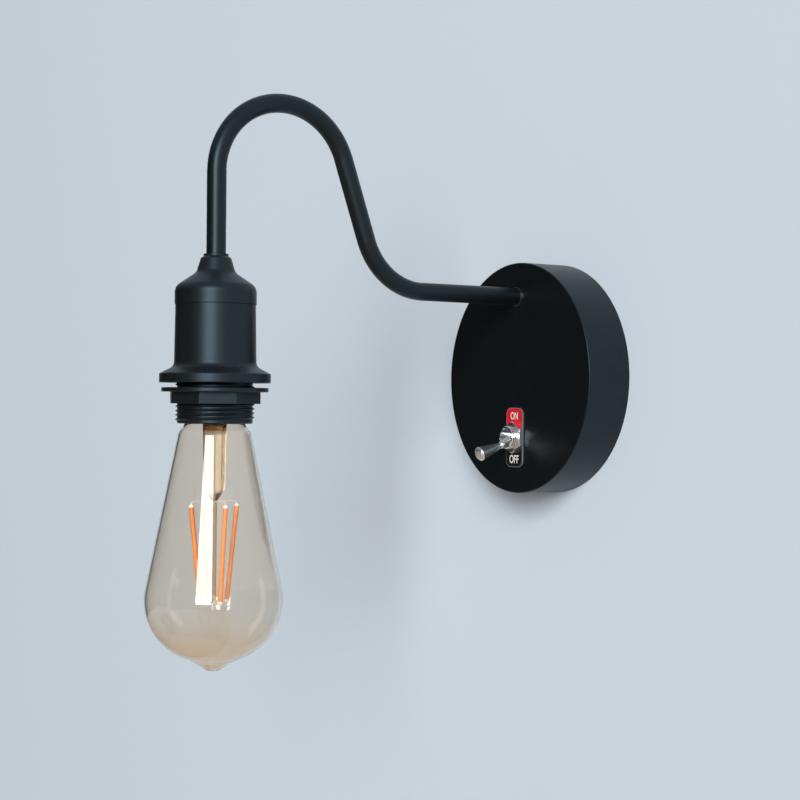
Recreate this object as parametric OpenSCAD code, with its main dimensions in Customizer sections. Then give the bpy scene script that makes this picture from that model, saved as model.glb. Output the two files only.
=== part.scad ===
// Wall lamp: a round rose with a toggle switch carries a swan-neck arm,
// and the arm carries a lamp holder with a screw-in filament bulb.
// Millimetres. The wall is the plane y = 0, the lamp stands out towards -y, and z is up.
// The origin is the centre of the rose's back.

/* [Rose] */
// Outside diameter of the rose
rose_d = 120; // [116:1:150]
// Depth of the rose, from the wall to its front face
rose_depth = 26; // [25:0.5:34]
// Sheet thickness of the rose
rose_wall = 1.5; // [1:0.1:2.5]
// Rounding of the rose's front edge
rose_edge = 0.6; // [0.3:0.1:0.9]

/* [Wall bracket] */
// Width of the bracket strip
bracket_w = 22; // [20:1:26]
// Sheet thickness of the bracket
bracket_t = 2; // [1.5:0.1:3]
// Height of the ears at the ends of the bracket
ear_h = 14; // [12:0.5:18]
// Gap between an ear and the inside of the rose's rim
ear_gap = 2; // [1:0.1:4]
// Distance between the centres of the two wall screw slots
slot_spacing = 84; // [78:1:88]
// Width of a wall screw slot
slot_w = 4.5; // [4:0.1:5.5]
// Length of a wall screw slot
slot_l = 9; // [7:0.5:11]
// Bore of the bush where the supply cable comes in
inlet_d = 9; // [7:0.5:10]
// Wall of the cable bush
inlet_wall = 2.5; // [1.5:0.1:3]
// Diameter of the side screw and of the earth screw
side_screw_d = 4; // [3:0.5:5]
// Diameter of the locating pin
locating_pin_d = 4; // [3:0.5:5]

/* [Terminal block] */
// Distance between two poles
pole_pitch = 7.4; // [7.2:0.1:8]
// Length of a pole along its wires
pole_l = 16; // [14:0.5:20]
// Outside diameter of a brass sleeve
sleeve_d = 4.2; // [4:0.1:4.6]
// Bore of a brass sleeve
sleeve_bore = 2.7; // [2.4:0.1:2.9]
// Diameter of an insulated lead
lead_d = 2; // [1.6:0.1:2.2]

/* [Arm] */
// Height of the arm's level run above the rose's centre
arm_height = 42.4; // [38:0.5:44]
// Outside diameter of the arm's tube
tube_d = 9; // [8.6:0.1:11]
// Bore of the arm's tube
tube_bore = 6.5; // [5.8:0.1:7]
// Thread diameter of the tube's turned ends
tube_thread_d = 8; // [7.6:0.1:8.4]
// Level run from the rose's front to the first bend
level_run = 59; // [40:1:90]
// Bend radius of the tube, on its middle line
bend_r = 35; // [25:1:50]
// Angle of the rising run above the level
rise_angle = 71; // [55:1:80]
// Straight length of the rising run
rise_run = 41; // [20:1:60]
// Straight drop from the arch to the lamp holder
drop_run = 38.4; // [20:1:60]
// Diameter of the collar where the arm meets the rose
collar_d = 10; // [9.8:0.1:14]
// Thickness of that collar
collar_t = 0.8; // [0.5:0.1:2]

/* [Lamp holder] */
// Diameter of the small ring on top of the neck
neck_ring_d = 11.5; // [11:0.1:13]
// Thickness of that ring
neck_ring_t = 1.1; // [0.8:0.1:2]
// Diameter of the neck at its top
neck_d = 14.2; // [13.5:0.1:16]
// Diameter of the neck at its foot
neck_foot_d = 18.2; // [17:0.1:20]
// Height of the neck
neck_h = 6.6; // [5:0.1:8]
// Height of the domed cap from the top of the neck to its lower edge
cap_h = 22.3; // [21:0.1:28]
// Diameter of the domed cap
cap_d = 37.8; // [37.4:0.1:40]
// Diameter of the body shell at the seam below the cap
shell_d = 37.1; // [36.8:0.1:37.3]
// Diameter of the body shell above its flange
shell_foot_d = 38; // [37.4:0.1:40]
// Height of the body shell, flange included
shell_h = 36.3; // [34:0.1:42]
// Diameter of the flange
flange_d = 51.5; // [46:0.5:60]
// Height of the flange's straight rim
flange_rim = 4.2; // [3:0.1:5]
// Slope of the flange's top
flange_slope = 27; // [15:1:35]
// Diameter over the threads of the skirt
skirt_d = 36.8; // [36.4:0.1:37]
// Depth of the skirt's thread
skirt_thread = 0.95; // [0.5:0.05:1]
// Pitch of the skirt's thread
skirt_pitch = 2; // [1.6:0.1:3]
// Length of the skirt below the flange
skirt_out = 18.8; // [17:0.1:22]
// Bore of the skirt's mouth
skirt_mouth = 32.4; // [32:0.1:32.8]
// Diameter of the shade ring's flange
ring_d = 49.4; // [46:0.1:56]
// Thickness of the shade ring's flange
ring_flange = 2; // [1.5:0.1:3]
// Diameter of the shade ring's grip, across its corners
ring_grip_d = 44; // [43:0.1:46]
// Number of flats on the grip
ring_flats = 8; // [6:1:12]
// Height of the shade ring
ring_h = 7.4; // [6:0.1:9]
// Gap between the flange and the shade ring
ring_gap = 2.2; // [0.5:0.1:4]

/* [Bulb] */
// Largest diameter of the glass
bulb_d = 64; // [58:0.5:80]
// Length of the bulb from its contact to the end of its pip
bulb_len = 142; // [136:0.5:160]
// Thickness of the glass
glass_t = 0.9; // [0.6:0.1:1.2]
// Height of the widest place above the pip's end
belly_h = 32.8; // [31:0.1:40]
// Radius of the lower dome
dome_r = 28.3; // [25:0.1:29]
// Taper of the glass, from its axis
taper = 11.5; // [10:0.1:13]
// Radius of the pip's foot, where its cone meets the dome
pip_r = 9.2; // [8:0.1:10]
// Height of that foot above the pip's end
pip_h = 4.2; // [3:0.1:5]
// Diameter over the screw cap's threads
edison_d = 26.4; // [26.1:0.1:26.6]
// Pitch of the screw cap's thread
edison_pitch = 3.629; // [3.5:0.001:3.7]
// Depth of the screw cap's thread
edison_depth = 1.05; // [0.8:0.05:1.2]
// Height of the bulb's contact above the underside of the flange
contact_lift = 8.7; // [8:0.1:10]
// Diameter of one filament
filament_d = 2.2; // [1.6:0.1:2.8]
// Number of filaments
filament_count = 4; // [2:1:6]
// Height of a filament
filament_rise = 43; // [36:0.5:48]
// Distance of a filament's upper end from the bulb's axis
filament_top_r = 11.6; // [10:0.1:13]
// Distance of a filament's lower end from the bulb's axis
filament_foot_r = 6.9; // [5:0.1:9]

/* [Switch] */
// Drop of the switch below the rose's centre
switch_drop = 31; // [30:0.5:34]
// Outside diameter of the switch's threaded bush
bush_d = 12; // [11.6:0.1:13]
// Length of the bush in front of the rose
bush_out = 6.4; // [5:0.1:8]
// Mouth of the bush
bush_mouth = 9.8; // [9.6:0.1:10.4]
// Width of the ON and OFF plate
plate_w = 14; // [13.5:0.5:20]
// Height of the ON and OFF plate
plate_h = 31; // [28:0.5:36]
// Thickness of the ON and OFF plate
plate_t = 0.8; // [0.5:0.1:1.5]
// Width of the nuts across their flats
nut_af = 14.5; // [14:0.5:18]
// Thickness of the nuts
nut_t = 2.2; // [1.8:0.1:3]
// Depth of the lever's pivot behind the rose's front
pivot_depth = 2.5; // [2:0.1:3]
// Length of the lever from its pivot to its end
lever_len = 28; // [24:0.5:34]
// Diameter of the lever's flared end
lever_end_d = 7.4; // [5:0.1:8.4]
// Tilt of the lever to each side of the middle
lever_tilt = 18.5; // [12:0.5:19]
// Tilt of the rocking contact to each side of the middle
rocker_tilt = 14; // [10:0.5:16]

/* [Fits] */
// Radial clearance of a pin that turns or slides in its bore
running = 0.05; // [0.03:0.01:0.08]
// Radial clearance between pieces that stay put
seat = 0.05; // [0.03:0.01:0.1]
// Clearance between moving pieces that must not touch
clear = 0.3; // [0.25:0.05:0.5]

/* [Hidden] */
$fn = 72;

// Colours
black_paint = "#1d2023";
black_plastic = "#22262a";
chrome = "#c9cdd1";
zinc = "#9aa0a4";
brass = "#b8964a";
phenolic = "#4a2d1c";
white_plastic = "#e6e4dc";
amber_glass = [0.72, 0.62, 0.45, 0.35];

// Cuts reach this far past the faces they open
over = 1;

// Rose and bracket
rose_r = rose_d / 2;
rim_r = rose_r - rose_wall;
front_in = rose_depth - rose_wall;
ear_x = rim_r - ear_gap;
ear_w = bracket_w - 2;
ear_edge = 6;
ear_hole_out = ear_h - ear_edge;
inlet_hole_r = inlet_d / 2 + inlet_wall;
inlet_flange_r = inlet_hole_r + 2;
inlet_flange_t = 2;
side_screw_r = side_screw_d / 2;
side_head_r = side_screw_r + 1.6;
side_head_t = 1.8;
slot_depth = 0.7;
slot_cut = 0.9;
grub_cut = 0.5;
screw_short = 0.3;
earth_x = -20;
washer_t = 0.6;
lug_t = 0.8;
earth_head_t = 2.2;
earth_seat = bracket_t + washer_t + lug_t;
lead_r = lead_d / 2;
lug_barrel_out = earth_seat + lead_r + 0.3;

// Terminal block
block_left = inlet_flange_r + 0.8;
block_w = 3 * pole_pitch;
block_h = 9;
tower_r = 2.2;
tower_h = 3.5;
tower_shift = pole_l / 4;
sleeve_rise = 4.4;
sleeve_out = bracket_t + sleeve_rise;
sleeve_l = pole_l - 1;
clamp_screw_r = 1.1;
block_screw_r = 1.2;
block_head_r = 2.1;
block_head_t = 1.5;
block_top = bracket_t + block_h;

// Arm, in the plane x = 0 as [out from the wall, up]
thread_r = tube_thread_d / 2;
bore_r = tube_bore / 2;
washer_out_r = thread_r + 3;
arm_nut_t = 5;
arm_nut_land = 5;
arm_nut_af = tube_thread_d + arm_nut_land;
thread_in = rose_wall + collar_t + washer_t + arm_nut_t + 1.5;
level_start = rose_depth + collar_t;
tube_inner_end = level_start - thread_in;
bend_start = rose_depth + level_run;
bend_centre = [bend_start, arm_height + bend_r];
rise_dir = [cos(rise_angle), sin(rise_angle)];
rise_start = bend_centre + bend_r * [sin(rise_angle), -cos(rise_angle)];
rise_end = rise_start + rise_run * rise_dir;
arch_centre = rise_end + bend_r * [sin(rise_angle), -cos(rise_angle)];
reach = arch_centre[0] + bend_r;
holder_top = arch_centre[1] - drop_run;
neck_thread = 9;
neck_screw_r = 1.5;
neck_screw_drop = 5;
hair = 0.05;
lap = 0.5;

// Lamp holder, as heights above the top of the neck ring
neck_z = -neck_ring_t;
seam_z = neck_z - cap_h;
flange_z = seam_z - shell_h;
skirt_z = flange_z - skirt_out;
ring_z = flange_z - ring_gap;
cap_r = cap_d / 2;
shell_r = shell_d / 2;
shell_wall = 2;
shell_bore = shell_r - shell_wall;
spigot_h = 5;
spigot_r = shell_r - 1.5;
ledge_r = shell_bore - 1.3;
skirt_crest_r = skirt_d / 2;
skirt_root_r = skirt_crest_r - skirt_thread;
skirt_spigot_r = shell_bore - seat;
ring_bore_r = skirt_crest_r + clear;

// Bulb cap and socket, as heights above the top of the neck ring
contact_z = flange_z + contact_lift;
tip_z = contact_z - bulb_len;
thread_gap = 0.5;
edison_sides = 24;
skirt_sides = 48;
cap_len = 23.4;
cap_rim_z = contact_z - cap_len;
cap_top_drop = 4;
cap_top_z = contact_z - cap_top_drop;
cap_mean_r = edison_d / 2 - edison_depth / 2;
cap_bore_r = cap_mean_r - edison_depth / 2 - 0.5;
shell_mean_r = cap_mean_r + thread_gap;
brass_r = edison_d / 2 + thread_gap + 0.55;
socket_r = brass_r + seat;
brass_top_z = contact_z + 0.8;
brass_foot_z = cap_rim_z - 0.8;
socket_foot_z = brass_foot_z - seat;
tip_r = 4.8;
tip_t = 1.4;
insulator_h = 2;

// Contact carrier, as heights above the top of the neck ring
boss_h = 5;
carrier_z = brass_top_z + seat + boss_h;
carrier_h = 13;
carrier_top = carrier_z + carrier_h;
chamber_r = 3.5;
chamber_rise = 4;
chamber_top = carrier_z + chamber_rise;
plunger_r = 1.5;
plunger_head_r = 2.9;
plunger_head_t = 1.8;
plunger_top = carrier_top + edison_pitch + 2.2;
clip_r = 2.8;
clip_t = 0.6;
clip_z = plunger_top - clip_t - 0.6;
clip_groove_r = 1.1;
terminal_x = 8;
terminal_size = [6, 7, 7];
holder_screw_r = 1.3;
holder_screw_z = 4;
strap_w = 4;
strap_t = 0.6;
strap_r = brass_r - strap_t / 2 - clear;

// Switch, as distances out from the rose's front
bush_r = bush_d / 2;
bush_thread = 0.35;
bush_pitch = 1;
bush_plain = 2.8;
bush_lip = 0.5;
bush_groove = 0.3;
nut_turn = 30;
lock_t = 0.6;
frame_t = 1;
frame_gap = 0.4;
frame_top = -(rose_wall + lock_t + nut_t + frame_gap);
housing_top = frame_top - frame_t;
housing_w = 13.4;
housing_l = 27;
housing_wall = 1.5;
housing_floor = 1.2;
waist_r = 2.9;
ball_r = waist_r - clear;
pivot_r = 0.8;
neck_r = 1.4;
swing_r = (bush_out + pivot_depth) * tan(lever_tilt) + (neck_r + clear) / cos(lever_tilt);
mouth_r = max(bush_mouth / 2, swing_r);
tail_r = 1.9;
tail_len = 7;
plunger_pin_r = 0.9;
plunger_bore_r = plunger_pin_r + 0.1;
tip_reach = 9.2;
seat_rise = 1.2;
rocker_z = -(pivot_depth + tip_reach + clear + seat_rise);
rocker_slope = 16;
rocker_arm = 7;
rocker_t = 0.8;
rocker_w = 5;
trunnion_r = 0.7;
trunnion_half = 4.4;
rivet_r = 1.2;
rivet_t = 0.5;
fork_x = rocker_w / 2 + 0.5;
fork_t = 0.8;
rocker_under = 2.6;
floor_z = rocker_z - rocker_under;
housing_bottom = floor_z - housing_floor;
lug_w = 4;
switch_lug_t = 0.8;
lug_l = 4.6;
lug_end = housing_bottom - lug_l;
load_y = -(rocker_arm * cos(rocker_tilt) - 0.4);
collar_ball_r = 2.1;
collar_ball_at = (bush_out + pivot_depth + collar_ball_r + clear) / cos(lever_tilt) - 0.2;

// A unit vector along v
function unit(v) = v / norm(v);
// The first two numbers of a point
function flat(p) = [p[0], p[1]];
// Points on an arc about c
function arc(c, r, from, to, n) =
    [for (i = [0:n]) c + r * [cos(from + (to - from) * i / n), sin(from + (to - from) * i / n)]];
// An angle brought between -180 and 180
function wrapped(a) = a > 180 ? a - 360 : a < -180 ? a + 360 : a;
// Corner b of an outline, rounded to radius r between its neighbours a and c
function corner(a, b, c, r) =
    let (u = unit(a - b), v = unit(c - b), half = acos(u * v) / 2)
    let (centre = b + unit(u + v) * r / sin(half))
    let (p = b + u * r / tan(half) - centre, q = b + v * r / tan(half) - centre)
    let (from = atan2(p[1], p[0]), turn = wrapped(atan2(q[1], q[0]) - from))
    arc(centre, r, from, from + turn, 6);
// An outline whose points are [x, y, corner radius]
function rounded(o) =
    let (n = len(o))
    [for (i = [0:n - 1]) each o[i][2] > 0
        ? corner(flat(o[(i + n - 1) % n]), flat(o[i]), flat(o[(i + 1) % n]), o[i][2])
        : [flat(o[i])]];
// A smooth curve through points, with n steps between two of them
function smooth(p, n) =
    concat([for (i = [0:len(p) - 2], k = [0:n - 1])
        let (a = p[max(i - 1, 0)], b = p[i], c = p[i + 1], d = p[min(i + 2, len(p) - 1)], t = k / n)
        (2 * b + (c - a) * t + (2 * a - 5 * b + 4 * c - d) * t * t
            + (3 * b - a - 3 * c + d) * t * t * t) / 2], [p[len(p) - 1]]);
// The direction of a line of points at point i
function heading(p, i) = unit(p[min(i + 1, len(p) - 1)] - p[max(i - 1, 0)]);
// Points of a coil that rises along z
function coil(r, from, to, turns, steps) =
    [for (i = [0:turns * steps]) let (a = 360 * i / steps)
        [r * cos(a), r * sin(a), from + (to - from) * i / (turns * steps)]];

// Wall frame: x stays, y turns up, and z points out from the wall
module from_wall() { rotate([90, 0, 0]) children(); }
// Switch frame: z = 0 is the rose's front, and z points out
module at_switch() { from_wall() translate([0, -switch_drop, rose_depth]) children(); }
// Holder frame: z = 0 is the top of the neck ring, on the lamp's vertical axis
module at_holder() { translate([0, -reach, holder_top]) children(); }
// Arm frame: x points out from the wall, and y is up
module at_arm() { rotate([90, 0, -90]) children(); }

// A ring of height h
module ring(outer, inner, h) {
    difference() {
        cylinder(r = outer, h = h);
        translate([0, 0, -over]) cylinder(r = inner, h = h + 2 * over);
    }
}

// A round slot of overall length l along x
module slot(w, l, h) {
    run = l - w;
    translate([-run / 2, -w / 2, 0]) cube([run, w, h]);
    for (side = [-1, 1]) translate([side * run / 2, 0, 0]) cylinder(d = w, h = h);
}

// A hexagon nut with chamfered corners
module hex_nut(af, bore, h) {
    corner_r = af / sqrt(3);
    chamfer = (corner_r - af / 2) * 0.6;
    difference() {
        intersection() {
            cylinder(r = corner_r, h = h, $fn = 6);
            rotate_extrude() polygon([[0, 0], [corner_r - chamfer, 0], [corner_r, chamfer],
                [corner_r, h - chamfer], [corner_r - chamfer, h], [0, h]]);
        }
        translate([0, 0, -over]) cylinder(r = bore, h = h + 2 * over);
    }
}

// A slotted screw: its head stands on z = 0 and its shank goes down
module slotted_screw(shank, length, head, head_t) {
    difference() {
        union() {
            rotate_extrude() polygon(rounded([[0, 0, 0], [head, 0, 0],
                [head, head_t, head_t / 3], [0, head_t, 0]]));
            translate([0, 0, -length]) cylinder(r = shank, h = length + over / 2);
        }
        translate([-head - over, -slot_cut / 2, head_t - slot_depth])
            cube([2 * (head + over), slot_cut, over]);
    }
}

// A headless screw with a slotted end
module grub_screw(r, length) {
    difference() {
        cylinder(r = r, h = length);
        translate([-r - over, -grub_cut / 2, length - slot_depth]) cube([2 * (r + over), grub_cut, over]);
    }
}

// A tube of radius r along points
module sweep(p, r, sides) {
    n = len(p);
    first = heading(p, 0);
    start = unit(cross(first, abs(first[2]) > 0.9 ? [1, 0, 0] : [0, 0, 1]));
    across = [for (i = 0, u = start; i < n; i = i + 1,
        u = i < n ? unit(u - (u * heading(p, i)) * heading(p, i)) : u) u];
    points = [for (i = [0:n - 1], k = [0:sides - 1])
        let (a = 360 * k / sides, t = heading(p, i), u = across[i])
        p[i] + r * (cos(a) * u + sin(a) * cross(t, u))];
    walls = [for (i = [0:n - 2], k = [0:sides - 1])
        let (a = i * sides + k, b = i * sides + (k + 1) % sides)
        each [[a, a + sides, b + sides], [a, b + sides, b]]];
    last = (n - 1) * sides;
    ends = [for (k = [1:sides - 2]) each [[0, k, k + 1], [last, last + k + 1, last + k]]];
    polyhedron(points, concat(walls, ends));
}

// A turned piece with a screw thread. The closed outline has rows of [height, radius, thread depth],
// up the outside and down the inside. The thread is a half wave, or a full one for a rolled thread.
module threaded(rows, pitch, sides, rolled) {
    n = len(rows);
    points = [for (row = rows, k = [0:sides - 1])
        let (a = 360 * k / sides, wave = cos(360 * row[0] / pitch - a))
        let (r = row[1] + row[2] * (rolled ? wave / 2 : max(0, wave)))
        [r * cos(a), r * sin(a), row[0]]];
    faces = [for (j = [0:n - 1], k = [0:sides - 1])
        let (up = (j + 1) % n * sides, m = (k + 1) % sides)
        each [[j * sides + k, up + k, up + m], [j * sides + k, up + m, j * sides + m]]];
    polyhedron(points, faces);
}
// Corner distance of a bore with flat sides, so that a circle of radius r goes through it
function bore_corner(r, sides) = r / cos(180 / sides);
// Rows of a thread from one height to another
function thread_rows(from, to, r, depth, pitch, steps) =
    let (n = round(abs(to - from) / pitch * steps))
    [for (i = [0:n]) [from + (to - from) * i / n, r, depth]];

// The rose and what holds it to the wall
module rose_cover() {
    color(black_paint) from_wall() difference() {
        rotate_extrude() polygon(rounded([[0, rose_depth, 0], [0, front_in, 0], [rim_r, front_in, rose_edge],
            [rim_r, 0, 0], [rose_r, 0, 0], [rose_r, rose_depth, rose_edge]]));
        translate([0, arm_height, front_in - over])
            cylinder(r = thread_r + seat, h = rose_wall + 2 * over);
        translate([0, -switch_drop, front_in - over])
            cylinder(r = bush_r + seat, h = rose_wall + 2 * over);
        translate([0, 0, ear_hole_out]) rotate([0, -90, 0])
            cylinder(r = side_screw_r + clear, h = rose_r + over);
    }
}

module locating_pin() {
    pin_l = ear_gap + bracket_t + 3;
    color(zinc) from_wall() intersection() {
        translate([rim_r - pin_l, 0, ear_hole_out]) rotate([0, 90, 0])
            cylinder(d = locating_pin_d, h = pin_l + over);
        cylinder(r = rim_r, h = rose_depth);
    }
}

module side_screw() {
    shank = rose_wall + ear_gap + bracket_t + 2;
    color(chrome) from_wall() translate([-rose_r, 0, ear_hole_out]) rotate([0, -90, 0])
        slotted_screw(side_screw_r, shank, side_head_r, side_head_t);
}

module wall_bracket() {
    through = bracket_t + 2 * over;
    color(zinc) from_wall() difference() {
        union() {
            translate([-ear_x, -bracket_w / 2, 0]) cube([2 * ear_x, bracket_w, bracket_t]);
            for (x = [-ear_x, ear_x - bracket_t]) translate([x, -ear_w / 2, 0])
                cube([bracket_t, ear_w, ear_h]);
        }
        translate([0, 0, -over]) {
            for (side = [-1, 1]) translate([side * slot_spacing / 2, 0, 0]) slot(slot_w, slot_l, through);
            cylinder(r = inlet_hole_r + seat, h = through);
            translate([block_left + pole_pitch, 0, 0]) cylinder(r = block_screw_r + seat, h = through);
            translate([earth_x, 0, 0]) cylinder(r = side_screw_r + seat, h = through);
        }
        translate([0, 0, ear_hole_out]) {
            rotate([0, 90, 0]) cylinder(r = locating_pin_d / 2 + clear, h = rose_r);
            rotate([0, -90, 0]) cylinder(r = side_screw_r + seat, h = rose_r);
        }
    }
}

module cable_bush() {
    top = bracket_t + inlet_flange_t;
    color("#2b2b2b") from_wall() rotate_extrude() polygon(rounded([
        [inlet_d / 2, 0, 0], [inlet_hole_r, 0, 0], [inlet_hole_r, bracket_t, 0],
        [inlet_flange_r, bracket_t, 0], [inlet_flange_r, top, inlet_flange_t / 2], [inlet_d / 2, top, 0]]));
}

// Places of the terminal block's poles, and of the two clamp screws of each
function pole_x(i) = block_left + pole_pitch * (i + 0.5);
module each_pole() { for (i = [0:2]) translate([pole_x(i), 0, 0]) children(); }
module each_clamp() { each_pole() for (side = [-1, 1]) translate([0, side * tower_shift, 0]) children(); }

module terminal_block() {
    color(white_plastic) from_wall() difference() {
        union() {
            translate([block_left, -pole_l / 2, bracket_t]) cube([block_w, pole_l, block_h]);
            each_clamp() translate([0, 0, block_top - over]) cylinder(r = tower_r, h = tower_h + over);
        }
        each_pole() translate([0, pole_l / 2 + over, sleeve_out]) rotate([90, 0, 0])
            cylinder(r = sleeve_d / 2 + seat, h = pole_l + 2 * over);
        each_clamp() translate([0, 0, sleeve_out])
            cylinder(r = clamp_screw_r + seat, h = block_h + tower_h);
        translate([block_left + pole_pitch, 0, 0])
            cylinder(r = block_screw_r + seat, h = block_top + over);
    }
}

module terminal_sleeves() {
    color(brass) from_wall() each_pole() difference() {
        translate([0, sleeve_l / 2, sleeve_out]) rotate([90, 0, 0])
            ring(sleeve_d / 2, sleeve_bore / 2, sleeve_l);
        for (side = [-1, 1]) translate([0, side * tower_shift, sleeve_out])
            cylinder(r = clamp_screw_r + seat, h = sleeve_d);
    }
}

module terminal_screws() {
    sunk = 0.6;
    foot = sleeve_out + lead_r + seat;
    length = block_top + tower_h - sunk - foot;
    color(brass) from_wall() each_clamp() translate([0, 0, foot]) grub_screw(clamp_screw_r, length);
}

module block_screw() {
    color(zinc) from_wall() translate([block_left + pole_pitch, 0, block_top])
        slotted_screw(block_screw_r, block_top - screw_short, block_head_r, block_head_t);
}

module earth_screw() {
    color(brass) from_wall() translate([earth_x, 0, earth_seat])
        slotted_screw(side_screw_r, earth_seat - screw_short, side_head_r, earth_head_t);
}

module earth_washer() {
    color(zinc) from_wall() translate([earth_x, 0, bracket_t])
        ring(side_head_r + 0.6, side_screw_r + seat, washer_t);
}

module earth_lug() {
    barrel_r = lead_r + 0.9;
    barrel_l = 6;
    barrel_from = side_head_r + 0.4;
    color(brass) from_wall() translate([earth_x, 0, 0]) difference() {
        union() {
            translate([0, 0, bracket_t + washer_t]) cylinder(r = side_head_r + 0.2, h = lug_t);
            translate([-barrel_r, 0, bracket_t + washer_t]) cube([2 * barrel_r, barrel_from + 1, lug_t]);
            translate([0, barrel_from, lug_barrel_out]) rotate([-90, 0, 0])
                cylinder(r = barrel_r, h = barrel_l);
        }
        translate([0, 0, bracket_t]) cylinder(r = side_screw_r + seat, h = washer_t + lug_t + over);
        translate([0, barrel_from - over, lug_barrel_out]) rotate([-90, 0, 0])
            cylinder(r = lead_r + seat, h = barrel_l + 2 * over);
    }
}

// The cross-section of a tube
module tube_section(outer, inner) {
    difference() {
        circle(outer);
        circle(inner);
    }
}

// A straight run of the arm along x. It is a hair thicker than the bends and laps over them.
module straight_run(from, to) {
    translate([from, 0, 0]) rotate([0, 90, 0]) linear_extrude(to - from)
        tube_section(tube_d / 2 + hair, bore_r - hair);
}

// A bend of the arm about the origin, from the x axis
module bend(angle) {
    rotate_extrude(angle = angle) translate([bend_r, 0]) tube_section(tube_d / 2, bore_r);
}

// A threaded end of the arm along x
module threaded_end(from, to) {
    translate([from, 0, 0]) rotate([0, 90, 0]) linear_extrude(to - from) tube_section(thread_r, bore_r);
}

module arm_tube() {
    color(black_paint) at_arm() {
        translate([0, arm_height]) {
            threaded_end(tube_inner_end, level_start + lap);
            straight_run(level_start, bend_start + lap);
        }
        translate(bend_centre) rotate(-90) bend(rise_angle);
        translate(rise_start) rotate(rise_angle) straight_run(-lap, rise_run + lap);
        translate(arch_centre) bend(90 + rise_angle);
        translate([reach, holder_top]) rotate(90) {
            straight_run(0, drop_run + lap);
            threaded_end(-neck_thread, lap);
        }
    }
}

// A ring on the arm's threaded end, at a distance out from the wall
module on_arm(out) { from_wall() translate([0, arm_height, out]) children(); }

module arm_collar() {
    color(chrome) on_arm(rose_depth) ring(collar_d / 2, thread_r + seat, collar_t);
}

module arm_washer() {
    color(zinc) on_arm(front_in - washer_t) ring(washer_out_r, thread_r + seat, washer_t);
}

module arm_nut() {
    color(zinc) on_arm(front_in - washer_t - arm_nut_t) hex_nut(arm_nut_af, thread_r + seat, arm_nut_t);
}

// Leads, as points [x, up, out from the wall]
lead_side = 1.3;
lug_out = rose_depth + lug_end + 2;
lead_in = 4;
sleeve_end = pole_l / 2 - lead_in;
terminal_up = holder_top + carrier_top + terminal_size[2];
arc_step = 12;

// The arm's middle line at a distance x to the side, from its inner end to its outer end
function arm_line(x) = concat(
    [[x, arm_height, tube_inner_end + 2]],
    [for (p = arc(bend_centre, bend_r, -90, rise_angle - 90, ceil(rise_angle / arc_step)))
        [x, p[1], p[0]]],
    [for (p = arc(arch_centre, bend_r, 90 + rise_angle, 0, ceil((90 + rise_angle) / arc_step)))
        [x, p[1], p[0]]]);
// From the arm's outer end into a terminal of the lamp holder
function holder_end(side) = smooth([
    [side * lead_side, holder_top - neck_thread + 1, reach],
    [side * (lead_side + 0.6), holder_top - neck_thread - 2, reach],
    [side * terminal_x, terminal_up + 4, reach],
    [side * terminal_x, terminal_up + 1, reach],
    [side * terminal_x, terminal_up - 4, reach]], 3);
module lead(p, colour) { color(colour) from_wall() sweep(p, lead_r, 8); }

switched_route = [
    [-lug_w / 2 - 0.1, load_y - switch_drop, lug_out], [-8, -38, lug_out], [-15, -32, 8], [-18, -16, 12],
    [-18, 4, 13], [-14, 22, 12], [-7, 35, 8], [-2.4, arm_height - 0.6, 8.5], [-lead_side, arm_height, 13]];
neutral_route = [
    [pole_x(2), sleeve_end, sleeve_out], [pole_x(2), 12, sleeve_out], [27, 20, 6.6], [19, 30, 6.6],
    [8, 38, 6.6], [2.4, arm_height - 0.6, 8.5], [lead_side, arm_height, 13]];
live_route = [
    [pole_x(0), -sleeve_end, sleeve_out], [pole_x(0), -12, sleeve_out], [13, -20, 6], [10, -28, lug_out],
    [5, -switch_drop, lug_out], [lug_w / 2 + 0.1, -switch_drop, lug_out]];
earth_route = [
    [pole_x(1), sleeve_end, sleeve_out], [pole_x(1), 12, sleeve_out], [14, 18, 6.6], [2, 20, 6],
    [-12, 19, 5.4], [earth_x + 1.5, 16.5, lug_barrel_out], [earth_x, 13, lug_barrel_out],
    [earth_x, 10.5, lug_barrel_out], [earth_x, 5, lug_barrel_out]];

module switched_lead() {
    lead(concat(smooth(switched_route, 3), arm_line(-lead_side), holder_end(-1)), "#7a4a2a");
}
module neutral_lead() {
    lead(concat(smooth(neutral_route, 3), arm_line(lead_side), holder_end(1)), "#2f5fa8");
}
module live_lead() { lead(smooth(live_route, 3), "#7a4a2a"); }
module earth_lead() { lead(smooth(earth_route, 3), "#6fae3d"); }

// The switch
module on_off_plate() {
    round_r = 3.6;
    color("#b3262b") at_switch() linear_extrude(plate_t) difference() {
        polygon(rounded([for (p = [[-1, -1], [1, -1], [1, 1], [-1, 1]])
            [p[0] * plate_w / 2, p[1] * plate_h / 2, round_r]]));
        circle(bush_r + seat);
    }
}

module front_nut() {
    color(chrome) at_switch() translate([0, 0, plate_t]) rotate(nut_turn)
        hex_nut(nut_af, bush_r + seat, nut_t);
}

module lock_washer() {
    color(zinc) at_switch() translate([0, 0, -rose_wall - lock_t])
        ring(bush_r + 2, bush_r + seat, lock_t);
}

module back_nut() {
    color(zinc) at_switch() translate([0, 0, -rose_wall - lock_t - nut_t])
        hex_nut(nut_af, bush_r + seat, nut_t);
}

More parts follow.
